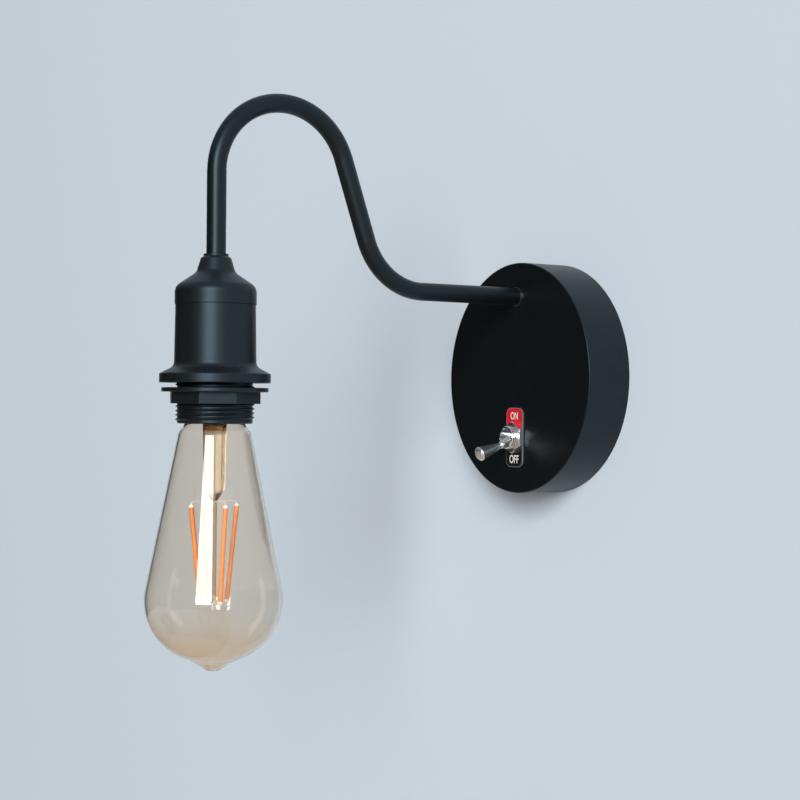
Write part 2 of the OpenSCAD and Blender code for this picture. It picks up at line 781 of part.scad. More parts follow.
module switch_bush() {
    plain_from = bush_out - bush_plain;
    groove_z = bush_out - 2 * bush_lip;
    threads = floor((plain_from - frame_top - bush_pitch) / bush_pitch);
    crests = [for (i = [0:threads - 1]) let (z = plain_from - i * bush_pitch)
        each [[bush_r, z], [bush_r - bush_thread, z - bush_pitch / 2]]];
    waist = waist_r * 0.75;
    color(chrome) at_switch() difference() {
        rotate_extrude() polygon(concat(
            [[mouth_r, bush_out], [bush_r - bush_lip, bush_out], [bush_r, bush_out - bush_lip],
            [bush_r, groove_z], [bush_r - bush_groove, groove_z - bush_groove],
            [bush_r, groove_z - 2 * bush_groove]], crests,
            [[bush_r - bush_thread, housing_top], [waist_r + 1, housing_top],
            [waist_r, -pivot_depth - waist], [waist_r, -pivot_depth + waist]]));
        translate([-bush_r, 0, -pivot_depth]) rotate([0, 90, 0]) cylinder(r = pivot_r, h = bush_d);
    }
}

module switch_frame() {
    flap_x = housing_w / 2 + seat;
    flap_t = 0.8;
    flap_w = 10;
    flap_h = 8;
    color(zinc) at_switch() difference() {
        union() {
            translate([-flap_x - flap_t, -housing_l / 2, housing_top])
                cube([2 * (flap_x + flap_t), housing_l, frame_t]);
            for (x = [-flap_x - flap_t, flap_x]) translate([x, -flap_w / 2, housing_top - flap_h])
                cube([flap_t, flap_w, flap_h + frame_t]);
        }
        translate([0, 0, housing_top - over])
            cylinder(r = bush_r - bush_thread + seat, h = frame_t + 2 * over);
    }
}

module switch_housing() {
    cavity = [housing_w - 2 * housing_wall, housing_l - 2 * housing_wall];
    color(phenolic) at_switch() difference() {
        translate([-housing_w / 2, -housing_l / 2, housing_bottom])
            cube([housing_w, housing_l, housing_top - housing_bottom]);
        translate([-cavity[0] / 2, -cavity[1] / 2, floor_z])
            cube([cavity[0], cavity[1], housing_top - floor_z + over]);
        for (y = [0, load_y])
            translate([-lug_w / 2 - seat, y - switch_lug_t / 2 - seat, housing_bottom - over])
            cube([lug_w + 2 * seat, switch_lug_t + 2 * seat, housing_floor + 2 * over]);
    }
}

module pivot_pin() {
    half = bush_r - bush_thread - 0.4;
    color(zinc) at_switch() translate([-half, 0, -pivot_depth]) rotate([0, 90, 0])
        cylinder(r = pivot_r, h = 2 * half);
}

// A flat solder lug that goes down through the housing's floor
module solder_lug(y) {
    translate([-lug_w / 2, y - switch_lug_t / 2, lug_end])
        cube([lug_w, switch_lug_t, floor_z - lug_end + over / 2]);
}

module common_terminal() {
    fork_w = 4;
    base_t = 0.7;
    color(brass) at_switch() difference() {
        union() {
            solder_lug(0);
            translate([-fork_x - fork_t, -fork_w / 2, floor_z]) cube([2 * (fork_x + fork_t), fork_w, base_t]);
            for (x = [-fork_x - fork_t, fork_x]) translate([x, -fork_w / 2, floor_z])
                cube([fork_t, fork_w, rocker_under + trunnion_r + 0.9]);
        }
        translate([-fork_x - fork_t - over, 0, rocker_z]) rotate([0, 90, 0])
            cylinder(r = trunnion_r + running, h = 2 * (fork_x + fork_t + over));
    }
}

module load_terminal() {
    arm_foot = seat_rise + rocker_arm * tan(rocker_slope) - rocker_t / cos(rocker_slope) - rivet_t;
    top = rocker_z + arm_foot * cos(rocker_tilt) - rocker_arm * sin(rocker_tilt) - clear - 0.3;
    color(brass) at_switch() union() {
        solder_lug(load_y);
        translate([-lug_w / 2, load_y - rivet_r, floor_z]) cube([lug_w, 2 * rivet_r, top - floor_z]);
    }
}

// Pieces that turn with the lever, about its pivot
module on_lever() {
    at_switch() translate([0, 0, -pivot_depth]) rotate([lever_tilt, 0, 0]) children();
}

module toggle_lever() {
    end_r = lever_end_d / 2;
    dome = 1.4;
    bat_from = collar_ball_at + 1;
    color(chrome) on_lever() difference() {
        union() {
            sphere(ball_r);
            cylinder(r = neck_r, h = bat_from + over);
            translate([0, 0, collar_ball_at]) sphere(collar_ball_r);
            rotate_extrude() polygon(rounded([[0, bat_from, 0], [neck_r, bat_from, 0],
                [end_r, lever_len - dome, dome / 2], [end_r * 0.7, lever_len - 0.3, dome],
                [0, lever_len, 0]]));
            translate([0, 0, -tail_len]) cylinder(r = tail_r, h = tail_len);
        }
        translate([-waist_r, 0, 0]) rotate([0, 90, 0]) cylinder(r = pivot_r + running, h = 2 * waist_r);
        translate([0, 0, -tail_len - over]) cylinder(r = plunger_bore_r, h = tail_len - 2 + over);
    }
}

module toggle_plunger() {
    color(brass) on_lever() {
        translate([0, 0, -tip_reach + plunger_pin_r]) sphere(plunger_pin_r);
        translate([0, 0, -tip_reach + plunger_pin_r]) cylinder(r = plunger_pin_r, h = 2.6);
    }
}

module toggle_spring() {
    wire = 0.16;
    from = -tip_reach + plunger_pin_r + 2.6 + wire + 0.02;
    to = -2 - wire - 0.02;
    color(zinc) on_lever() sweep(coil(plunger_bore_r - wire - 0.12, from, to, 3, 8), wire, 6);
}

module contact_rocker() {
    rise = rocker_arm * tan(rocker_slope);
    thick = rocker_t / cos(rocker_slope);
    color(brass) at_switch() translate([0, 0, rocker_z]) rotate([-rocker_tilt, 0, 0]) union() {
        translate([-rocker_w / 2, 0, 0]) rotate([90, 0, 90]) linear_extrude(rocker_w)
            polygon([[-rocker_arm, seat_rise + rise], [0, seat_rise], [rocker_arm, seat_rise + rise],
                [rocker_arm, seat_rise + rise - thick], [0, seat_rise - thick],
                [-rocker_arm, seat_rise + rise - thick]]);
        translate([-trunnion_half, 0, 0]) rotate([0, 90, 0]) cylinder(r = trunnion_r, h = 2 * trunnion_half);
        translate([0, -rocker_arm + rivet_r, seat_rise + rise - thick - rivet_t - 0.3])
            cylinder(r = rivet_r, h = rivet_t + 0.8);
    }
}

// The lamp holder
module neck_ring() {
    color(black_plastic) at_holder() translate([0, 0, neck_z])
        ring(neck_ring_d / 2, thread_r + seat, neck_ring_t - seat);
}

module holder_cap() {
    lip = 1;
    foot_z = neck_z - lip - neck_h;
    cap_wall_h = 5.5;
    dome_from = seam_z + cap_wall_h;
    shoulder_r = 5;
    shoulder_turn = 53;
    shoulder_c = [cap_r - shoulder_r, dome_from];
    shoulder = shoulder_c + shoulder_r * [cos(shoulder_turn), sin(shoulder_turn)];
    inner_r = spigot_r + seat;
    inner_z = seam_z + spigot_h + seat;
    hall_wall = 4.4;
    hall_r = cap_r - hall_wall;
    roof_z = foot_z - 2.8;
    color(black_plastic) at_holder() difference() {
        rotate_extrude() polygon(concat(
            rounded([[0, neck_z, 0], [neck_ring_d / 2 + 0.2, neck_z, 0], [neck_d / 2, neck_z - lip, 0.3],
                [neck_foot_d / 2, foot_z, 4], [shoulder[0], shoulder[1], 0]]),
            arc(shoulder_c, shoulder_r, shoulder_turn, 0, 6),
            [[cap_r, seam_z], [inner_r, seam_z], [inner_r, inner_z], [hall_r, inner_z],
            [hall_r, dome_from], [thread_r + 3, roof_z], [0, roof_z]]));
        translate([0, 0, roof_z - over]) cylinder(r = thread_r + seat, h = neck_z - roof_z + 2 * over);
        translate([0, 0, neck_z - neck_screw_drop]) rotate([-90, 0, 0])
            cylinder(r = neck_screw_r + seat, h = neck_foot_d);
    }
}

module neck_screw() {
    color(zinc) at_holder() translate([0, thread_r + seat, neck_z - neck_screw_drop]) rotate([-90, 0, 0])
        grub_screw(neck_screw_r, neck_d / 2 - thread_r - seat);
}

module holder_shell() {
    rim_top = flange_z + flange_rim;
    root_z = rim_top + (flange_d - shell_foot_d) / 2 * tan(flange_slope);
    color(black_plastic) at_holder() rotate_extrude() polygon(rounded([
        [shell_bore, flange_z, 0], [flange_d / 2, flange_z, 0.4], [flange_d / 2, rim_top, 0.8],
        [shell_foot_d / 2, root_z, 3.5], [shell_r, seam_z, 0.2],
        [spigot_r, seam_z, 0], [spigot_r, seam_z + spigot_h, 0], [ledge_r, seam_z + spigot_h, 0],
        [ledge_r, carrier_top + seat, 0], [shell_bore, carrier_top + seat, 0]]));
}

module threaded_skirt() {
    plain = 1.4;
    shoulder_z = flange_z - seat;
    spigot_top = carrier_z - seat;
    inner_r = bore_corner(socket_r, skirt_sides);
    color(black_plastic) at_holder() threaded(concat(
        [[skirt_z, skirt_root_r - 0.5, 0], [skirt_z + 0.5, skirt_root_r, 0]],
        thread_rows(skirt_z + plain, shoulder_z - plain / 2, skirt_root_r, skirt_thread, skirt_pitch, 6),
        [[shoulder_z, skirt_root_r, 0], [shoulder_z, skirt_spigot_r, 0], [spigot_top, skirt_spigot_r, 0],
        [spigot_top, inner_r, 0], [socket_foot_z, inner_r, 0], [socket_foot_z, skirt_mouth / 2, 0],
        [skirt_z, skirt_mouth / 2, 0]]), skirt_pitch, skirt_sides, false);
}

module shade_ring() {
    grip_r = ring_grip_d / 2;
    color(black_plastic) at_holder() translate([0, 0, ring_z - ring_h]) difference() {
        union() {
            cylinder(r = grip_r, h = ring_h - ring_flange + over / 2, $fn = ring_flats);
            translate([0, 0, ring_h - ring_flange]) rotate_extrude() polygon(rounded([
                [0, 0, 0], [ring_d / 2, 0, 0.4], [ring_d / 2, ring_flange, 0.4], [0, ring_flange, 0]]));
        }
        translate([0, 0, -over]) cylinder(r = ring_bore_r, h = ring_h + 2 * over);
    }
}

module contact_carrier() {
    boss_r = brass_r - strap_t - 0.7;
    color(white_plastic) at_holder() difference() {
        union() {
            translate([0, 0, carrier_z]) cylinder(r = shell_bore - seat, h = carrier_h);
            translate([0, 0, brass_top_z + seat]) cylinder(r = boss_r, h = boss_h + over);
        }
        translate([0, 0, brass_top_z - over])
            cylinder(r = chamber_r, h = chamber_top - brass_top_z + over);
        translate([0, 0, brass_top_z])
            cylinder(r = plunger_r + running, h = carrier_top - brass_top_z + over);
        translate([strap_r - strap_t / 2 - seat, -strap_w / 2 - seat, carrier_z - over])
            cube([strap_t + 2 * seat, strap_w + 2 * seat, carrier_h + 2 * over]);
    }
}

module thread_shell() {
    color(brass) at_holder() threaded(concat(
        [[brass_foot_z, brass_r, 0], [brass_top_z, brass_r, 0]],
        thread_rows(brass_top_z, brass_foot_z, shell_mean_r, edison_depth, edison_pitch, 6)),
        edison_pitch, edison_sides, true);
}

module shell_strap() {
    color(brass) at_holder() translate([strap_r - strap_t / 2, -strap_w / 2, brass_top_z])
        cube([strap_t, strap_w, carrier_top - brass_top_z + 1.5]);
}

// Places of the lamp holder's two terminals
module each_terminal() {
    at_holder() for (side = [-1, 1]) translate([side * terminal_x, 0, carrier_top]) children();
}

module holder_terminals() {
    lead_floor = 2;
    color(brass) each_terminal() difference() {
        translate([-terminal_size[0] / 2, -terminal_size[1] / 2, 0]) cube(terminal_size);
        translate([0, 0, lead_floor]) cylinder(r = lead_r + seat, h = terminal_size[2]);
        translate([0, -terminal_size[1], holder_screw_z]) rotate([-90, 0, 0])
            cylinder(r = holder_screw_r + seat, h = terminal_size[1]);
    }
}

module holder_screws() {
    foot = lead_r + seat * 2;
    color(zinc) each_terminal() translate([0, -terminal_size[1] / 2, holder_screw_z]) rotate([90, 0, 0])
        slotted_screw(holder_screw_r, terminal_size[1] / 2 - foot, holder_screw_r + 0.8, 1.2);
}

module centre_contact() {
    color(brass) at_holder() difference() {
        union() {
            translate([0, 0, contact_z + seat]) cylinder(r = plunger_head_r, h = plunger_head_t);
            translate([0, 0, contact_z + seat]) cylinder(r = plunger_r, h = plunger_top - contact_z - seat);
        }
        translate([0, 0, clip_z - seat]) ring(plunger_r + over, clip_groove_r, clip_t + 2 * seat);
    }
}

module contact_spring() {
    wire = 0.4;
    from = contact_z + seat + plunger_head_t + wire + 0.05;
    to = chamber_top - wire - 0.05;
    color(zinc) at_holder() sweep(coil((plunger_r + chamber_r) / 2, from, to, 5, 12), wire, 6);
}

module contact_clip() {
    color(zinc) at_holder() translate([0, 0, clip_z]) ring(clip_r, clip_groove_r + seat, clip_t);
}

// The bulb, as heights above the end of its pip
module at_bulb() { at_holder() translate([0, 0, tip_z]) children(); }

// Angle at which the lower dome meets the pip, the pip's cone, and lengths of the glass at the cap's rim
dome_foot = 66;
pip_nose = 2.8;
pip_lean = atan2(pip_h, pip_r - pip_nose);
pip_face = (pip_lean + 90 - dome_foot) / 2;
nose_round = 6;
pip_round = 18;
glass_in_cap = 6;
shoulder_drop = 8.4;
glass_rim = cap_rim_z - tip_z;

// Half the outline of the glass, drawn in by t from its outside
function envelope(t) =
    let (c = [bulb_d / 2 - dome_r, belly_h], r = dome_r - t, neck_r = cap_bore_r - seat - t)
    let (top = c + r * [cos(taper), sin(taper)], low = c + r * [cos(dome_foot), -sin(dome_foot)])
    let (shoulder_z = glass_rim - shoulder_drop, shoulder_r = top[0] - (shoulder_z - top[1]) * tan(taper))
    let (end_z = glass_rim + glass_in_cap, nose_r = pip_nose - t * tan(pip_lean / 2))
    let (foot = [pip_r, pip_h] + t * [-sin(pip_face), cos(pip_face)])
    concat(
        rounded([[0, t, 0], [nose_r, t, nose_round], [foot[0], foot[1], pip_round], [low[0], low[1], 0]]),
        arc(c, r, -dome_foot, taper, 24),
        rounded([[top[0], top[1], 0], [shoulder_r, shoulder_z, 6], [neck_r, glass_rim - 1.2, 1.5],
            [neck_r, end_z, 0], [0, end_z, 0]]));

module bulb_glass() {
    color(amber_glass) at_bulb() difference() {
        rotate_extrude() polygon(envelope(0));
        rotate_extrude() polygon(envelope(glass_t));
        translate([0, 0, glass_rim]) cylinder(r = cap_bore_r - seat - glass_t, h = bulb_len);
    }
}

module bulb_cap() {
    rim_r = cap_mean_r - edison_depth / 2;
    inner_r = bore_corner(cap_bore_r, edison_sides);
    color(zinc) at_holder() threaded(concat(
        [[cap_rim_z, rim_r, 0], [cap_rim_z + 1.6, rim_r, 0]],
        thread_rows(cap_rim_z + 2.6, cap_top_z - 1.6, cap_mean_r, edison_depth, edison_pitch, 6),
        [[cap_top_z, inner_r + 0.3, 0], [cap_top_z, inner_r, 0], [cap_rim_z, inner_r, 0]]),
        edison_pitch, edison_sides, true);
}

module cap_insulator() {
    color("#161616") at_holder() rotate_extrude() polygon([
        [0, cap_top_z - insulator_h], [cap_bore_r - seat, cap_top_z - insulator_h],
        [cap_bore_r - seat, cap_top_z], [tip_r + 0.8, contact_z - tip_t], [0, contact_z - tip_t]]);
}

module cap_contact() {
    color(brass) at_holder() translate([0, 0, contact_z - tip_t]) cylinder(r = tip_r, h = tip_t);
}

module driver_board() {
    board_t = 1.2;
    chip = [8, 4, 4];
    capacitor_r = 2;
    capacitor_h = 5;
    color("#2f6b3a") at_holder() translate([0, 0, cap_top_z - insulator_h - seat - capacitor_h]) union() {
        cylinder(r = cap_bore_r - glass_t - 4 * seat, h = board_t);
        translate([-chip[0] / 2, -chip[1] / 2, 0]) cube(chip);
        translate([0, chip[1] / 2 + capacitor_r + 0.6, 0]) cylinder(r = capacitor_r, h = capacitor_h);
    }
}

// Heights inside the bulb, above the end of its pip
filament_foot = belly_h;
filament_top = filament_foot + filament_rise;
stem_rim = glass_rim + glass_in_cap / 2;
stem_r = 5;
stem_flare_h = 7;
stem_press_h = 6;
rod_r = 1.2;
wire_r = 0.4;
wire_seat = 0.15;
wire_up = 1.6;
wire_bend = 1.2;
wire_level = 2.6;
wire_end_r = 0.9;
stem_over = 2.5;
stem_end = filament_top + stem_over;

module glass_stem() {
    flare_r = cap_bore_r - glass_t - 4 * seat;
    color(amber_glass) at_bulb() rotate_extrude() polygon(rounded([[0, stem_rim, 0], [flare_r, stem_rim, 0],
        [flare_r, stem_rim - 1, 0], [stem_r + 0.6, stem_rim - stem_flare_h, 4],
        [stem_r, stem_end + stem_press_h, 3], [rod_r, stem_end, 1],
        [rod_r, filament_foot, 0], [0, filament_foot, 0]]));
}

function filament_angle(i) = 360 * i / filament_count;
filament_lean = filament_foot_r - filament_top_r;
filament_dir = unit([filament_lean, 0, filament_foot - filament_top]);

module led_filaments() {
    length = norm([filament_lean, filament_foot - filament_top]);
    color("#e08a2c") at_bulb() for (i = [0:filament_count - 1]) rotate(filament_angle(i))
        translate([filament_top_r, 0, filament_top])
        rotate([0, 180 + atan2(-filament_lean, filament_top - filament_foot), 0])
        cylinder(d = filament_d, h = length);
}

// A straight start of a wire past the end of a filament
function wire_start(end, dir) = [for (along = [wire_seat, wire_up / 2, wire_up]) end + along * dir];

module filament_wires() {
    color(chrome) at_bulb() for (i = [0:filament_count - 1]) rotate(filament_angle(i)) {
        sweep(smooth(concat(wire_start([filament_top_r, 0, filament_top], -filament_dir),
            [for (r = [filament_top_r - wire_bend, stem_r, wire_end_r]) [r, 0, filament_top + wire_level]]),
            3), wire_r, 6);
        sweep(smooth(concat(wire_start([filament_foot_r, 0, filament_foot], filament_dir),
            [[rod_r + 0.4, 0, filament_foot - 1], [0.5, 0, filament_foot + 2]]), 3), wire_r, 6);
    }
}

rose_cover();
locating_pin();
side_screw();
wall_bracket();
cable_bush();
terminal_block();
terminal_sleeves();
terminal_screws();
block_screw();
earth_screw();
earth_washer();
earth_lug();
arm_tube();
arm_collar();
arm_washer();
arm_nut();
switched_lead();
neutral_lead();
live_lead();
earth_lead();
on_off_plate();
front_nut();
lock_washer();
back_nut();
switch_bush();
switch_frame();
switch_housing();
pivot_pin();
common_terminal();
load_terminal();
toggle_lever();
toggle_plunger();
toggle_spring();
contact_rocker();
neck_ring();
holder_cap();
neck_screw();
holder_shell();
threaded_skirt();
shade_ring();
contact_carrier();
thread_shell();
shell_strap();
holder_terminals();
holder_screws();
centre_contact();
contact_spring();
contact_clip();
bulb_glass();
bulb_cap();
cap_insulator();
cap_contact();
driver_board();
glass_stem();
filament_wires();
led_filaments();
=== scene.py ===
"""Looks of a black wall lamp: rose with a toggle switch, swan-neck arm, lamp holder and filament bulb."""
import logging
import math
from dataclasses import dataclass, field
from enum import Enum

import bpy
from mathutils import Matrix, Vector


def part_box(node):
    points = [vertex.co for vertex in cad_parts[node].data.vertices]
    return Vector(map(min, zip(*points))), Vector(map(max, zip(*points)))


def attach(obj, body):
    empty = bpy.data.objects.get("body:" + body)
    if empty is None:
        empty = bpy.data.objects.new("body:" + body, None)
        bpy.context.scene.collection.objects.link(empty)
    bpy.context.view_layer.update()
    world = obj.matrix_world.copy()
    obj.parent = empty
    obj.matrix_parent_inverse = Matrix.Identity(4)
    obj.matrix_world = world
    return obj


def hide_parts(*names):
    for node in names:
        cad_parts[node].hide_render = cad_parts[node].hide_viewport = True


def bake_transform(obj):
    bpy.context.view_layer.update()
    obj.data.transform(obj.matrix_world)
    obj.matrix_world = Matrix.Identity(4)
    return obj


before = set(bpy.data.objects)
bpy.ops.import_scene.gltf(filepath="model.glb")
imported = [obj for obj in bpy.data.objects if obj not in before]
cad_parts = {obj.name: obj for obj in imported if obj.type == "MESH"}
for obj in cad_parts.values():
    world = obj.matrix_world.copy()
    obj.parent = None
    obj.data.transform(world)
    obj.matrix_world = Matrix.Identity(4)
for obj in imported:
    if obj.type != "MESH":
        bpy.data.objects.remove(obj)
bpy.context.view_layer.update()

MM = 0.001
Colour = tuple[float, float, float]
Span = tuple[float, float]
Point = tuple[float, float, float]
Corner = tuple[float, float, float]
Outline = list[tuple[float, float]]
Faces = list[tuple[int, ...]]
Socket = bpy.types.NodeSocket
LOG = logging.getLogger("wall_lamp")


class Body(Enum):
    """Bodies that a piece rides on."""

    LAMP = "lamp"
    BULB = "bulb"
    CONTACT = "contact"


class Effect(Enum):
    """Surface effects that several finishes share."""

    GRAIN = "surface_grain"
    SMUDGE = "hand_smudges"
    DRIFT = "colour_drift"
    EDGE = "rubbed_edges"
    DUST = "settled_dust"


def rgba(colour: Colour) -> tuple[float, float, float, float]:
    """Gives a colour with full alpha."""
    return (*colour, 1.0)


def link(name: str, data: bpy.types.ID) -> bpy.types.Object:
    """Puts data into the scene.

    Args:
        name: the new object's name.
        data: its mesh, light, camera or text.

    Returns:
        The new object.
    """
    made = bpy.data.objects.new(name, data)
    bpy.context.scene.collection.objects.link(made)
    return made


class Graph:
    """A node tree with short calls for adding and joining nodes."""

    # Socket numbers of a colour mix node: the factor and the two colours, and the result
    MIX_INPUTS = (0, 6, 7)
    MIX_RESULT = 2

    def __init__(self, tree: bpy.types.NodeTree) -> None:
        """Starts on a node tree.

        Args:
            tree: the node tree that is filled.
        """
        self.tree = tree

    @classmethod
    def of(cls, owner: bpy.types.Material | bpy.types.World) -> "Graph":
        """Empties the node tree of a material or a world.

        Args:
            owner: the material or the world.

        Returns:
            Its graph, with no nodes.
        """
        owner.use_nodes = True
        owner.node_tree.nodes.clear()
        return cls(owner.node_tree)

    def join(self, value: object, socket: Socket) -> None:
        """Sets an input, or links it.

        Args:
            value: a plain value, or another node's output.
            socket: the input.
        """
        if isinstance(value, bpy.types.NodeSocket):
            self.tree.links.new(value, socket)
        else:
            socket.default_value = value

    def add(self, kind: str, inputs: dict[str | int, object] | None = None,
            **settings: object) -> bpy.types.Node:
        """Adds a node.

        Args:
            kind: the node's type name.
            inputs: socket name or number to a value or to another node's output.
            settings: attributes of the node.

        Returns:
            The new node.
        """
        node = self.tree.nodes.new(kind)
        for name, value in settings.items():
            setattr(node, name, value)
        for key, value in (inputs or {}).items():
            self.join(value, node.inputs[key])
        return node

    def math(self, operation: str, *values: object) -> Socket:
        """Adds a math node.

        Args:
            operation: the operation's name.
            values: its inputs in order, numbers or sockets.

        Returns:
            The result's socket.
        """
        return self.add("ShaderNodeMath", dict(enumerate(values)), operation=operation).outputs[0]

    def mix(self, factor: object, first: object, second: object) -> Socket:
        """Mixes two colours.

        Args:
            factor: how much of the second colour shows.
            first: the first colour.
            second: the second colour.

        Returns:
            The mixed colour's socket.
        """
        inputs = dict(zip(self.MIX_INPUTS, (factor, first, second)))
        return self.add("ShaderNodeMix", inputs, data_type="RGBA").outputs[self.MIX_RESULT]

    def merge(self, factor: object, first: bpy.types.Node, second: bpy.types.Node) -> Socket:
        """Mixes two shaders.

        Args:
            factor: how much of the second shader shows.
            first: the first shader's node.
            second: the second shader's node.

        Returns:
            The mixed shader's socket.
        """
        inputs = {0: factor, 1: first.outputs[0], 2: second.outputs[0]}
        return self.add("ShaderNodeMixShader", inputs).outputs[0]

    def remap(self, value: object, span: Span = (0.0, 1.0), low: object = 0.0,
              high: object = 1.0) -> Socket:
        """Maps a value from a span onto low to high, and holds it there beyond the span.

        Args:
            value: the value to map.
            span: the two values that give low and high.
            low: the result at the span's start.
            high: the result at the span's end.

        Returns:
            The mapped value's socket.
        """
        inputs = dict(enumerate((value, *span, low, high)))
        return self.add("ShaderNodeMapRange", inputs).outputs[0]

    def place(self) -> Socket:
        """Gives the place on a piece, in the lamp's frame."""
        return self.add("ShaderNodeTexCoord").outputs["Object"]

    def axes(self, vector: Socket) -> tuple[Socket, Socket, Socket]:
        """Splits a vector into x, y and z."""
        return tuple(self.add("ShaderNodeSeparateXYZ", {0: vector}).outputs)

    def noise(self, scale: object, detail: object, **inputs: object) -> Socket:
        """Adds noise over a piece.

        Args:
            scale: how fine it is.
            detail: its finer layers.
            inputs: other inputs of the noise.

        Returns:
            The noise's socket.
        """
        named = {"Vector": self.place(), "Scale": scale, "Detail": detail, **inputs}
        return self.add("ShaderNodeTexNoise", named).outputs[0]


class EffectGroups:
    """Builds each shared effect once, as a node group with named inputs and outputs."""

    made: dict[Effect, bpy.types.NodeTree] = {}

    # Broad grain beside the fine one: its scale and its weight
    BROAD_SCALE = 0.28
    BROAD_WEIGHT = 0.6
    # Specks beside the clouds of a smudge: their scale, and the weight of each
    SPECK_SCALE = 14.0
    SPECK_WEIGHT = 0.35
    CLOUD_WEIGHT = 0.65
    # Spans over which noise, ridges and slopes come in
    DRIFT_SPAN: Span = (0.3, 0.7)
    RIDGE_SPAN: Span = (0.52, 0.62)
    CHIP_SPAN: Span = (0.42, 0.6)
    SHELF_SPAN: Span = (0.35, 1.0)
    MOTE_SPAN: Span = (0.4, 0.75)

    @classmethod
    def get(cls, effect: Effect) -> bpy.types.NodeTree:
        """Gives an effect's node group.

        Args:
            effect: the effect that is wanted.

        Returns:
            The node group, built on the first call.
        """
        if effect not in cls.made:
            builders = {Effect.GRAIN: cls._grain, Effect.SMUDGE: cls._smudge, Effect.DRIFT: cls._drift,
                        Effect.EDGE: cls._edge, Effect.DUST: cls._dust}
            cls.made[effect] = builders[effect](effect.value)
        return cls.made[effect]

    @staticmethod
    def _start(name: str, inputs: dict[str, object], output: str,
               kind: str = "NodeSocketFloat") -> tuple[Graph, dict[str, Socket], Socket]:
        """Makes an empty group with its sockets.

        Args:
            name: the group's name.
            inputs: input name to its default, a number or a colour.
            output: the only output's name.
            kind: the output's socket type.

        Returns:
            The group's graph, its inputs by name, and the socket that its result goes to.
        """
        tree = bpy.data.node_groups.new(name, "ShaderNodeTree")
        for key, default in inputs.items():
            sort = "NodeSocketColor" if isinstance(default, tuple) else "NodeSocketFloat"
            tree.interface.new_socket(key, in_out="INPUT", socket_type=sort).default_value = default
        tree.interface.new_socket(output, in_out="OUTPUT", socket_type=kind)
        graph = Graph(tree)
        given = graph.add("NodeGroupInput").outputs
        result = graph.add("NodeGroupOutput").inputs[output]
        return graph, {key: given[key] for key in inputs}, result

    @classmethod
    def _grain(cls, name: str) -> bpy.types.NodeTree:
        """Fine orange peel of a sprayed or moulded skin.

        Args:
            name: the group's name.

        Returns:
            The group, which puts out a height.
        """
        g, given, result = cls._start(name, {"Scale": 1500.0, "Detail": 2.0}, "Height")
        fine = g.noise(given["Scale"], detail=given["Detail"], Roughness=0.45)
        broad = g.noise(g.math("MULTIPLY", given["Scale"], cls.BROAD_SCALE), detail=1.0)
        g.join(g.math("MULTIPLY_ADD", broad, cls.BROAD_WEIGHT, fine), result)
        return g.tree

    @classmethod
    def _smudge(cls, name: str) -> bpy.types.NodeTree:
        """Uneven gloss left by handling.

        Args:
            name: the group's name.

        Returns:
            The group, which puts out a roughness.
        """
        g, given, result = cls._start(name, {"Scale": 60.0, "Low": 0.3, "High": 0.4}, "Roughness")
        cloud = g.noise(given["Scale"], detail=5.0, Roughness=0.6, Distortion=0.4)
        speck = g.noise(g.math("MULTIPLY", given["Scale"], cls.SPECK_SCALE), detail=2.0)
        both = g.math("MULTIPLY_ADD", speck, cls.SPECK_WEIGHT, g.math("MULTIPLY", cloud, cls.CLOUD_WEIGHT))
        g.join(g.remap(both, low=given["Low"], high=given["High"]), result)
        return g.tree

    @classmethod
    def _drift(cls, name: str) -> bpy.types.NodeTree:
        """Slow change between two close colours.

        Args:
            name: the group's name.

        Returns:
            The group, which puts out a colour.
        """
        white = rgba((1.0, 1.0, 1.0))
        inputs = {"Colour": white, "Second": white, "Scale": 40.0}
        g, given, result = cls._start(name, inputs, "Colour", "NodeSocketColor")
        share = g.remap(g.noise(given["Scale"], detail=4.0, Roughness=0.55), cls.DRIFT_SPAN)
        g.join(g.mix(share, given["Colour"], given["Second"]), result)
        return g.tree

    @classmethod
    def _edge(cls, name: str) -> bpy.types.NodeTree:
        """Outer edges, broken up, where a finish rubs bright.

        Args:
            name: the group's name.

        Returns:
            The group, which puts out a mask.
        """
        g, given, result = cls._start(name, {"Amount": 0.2, "Scale": 220.0}, "Mask")
        ridge = g.remap(g.add("ShaderNodeNewGeometry").outputs["Pointiness"], cls.RIDGE_SPAN)
        broken = g.remap(g.noise(given["Scale"], detail=4.0), cls.CHIP_SPAN)
        g.join(g.math("MULTIPLY", g.math("MULTIPLY", ridge, broken), given["Amount"]), result)
        return g.tree

    @classmethod
    def _dust(cls, name: str) -> bpy.types.NodeTree:
        """Thin dust on faces that look up.

        Args:
            name: the group's name.

        Returns:
            The group, which puts out a mask.
        """
        g, given, result = cls._start(name, {"Amount": 0.1, "Scale": 900.0}, "Mask")
        _, _, up = g.axes(g.add("ShaderNodeNewGeometry").outputs["Normal"])
        shelf = g.remap(up, cls.SHELF_SPAN)
        fall = g.remap(g.noise(given["Scale"], detail=3.0), cls.MOTE_SPAN)
        g.join(g.math("MULTIPLY", g.math("MULTIPLY", shelf, fall), given["Amount"]), result)
        return g.tree


DUST_COLOUR: Colour = (0.42, 0.4, 0.37)
BEVEL_SAMPLES = 4


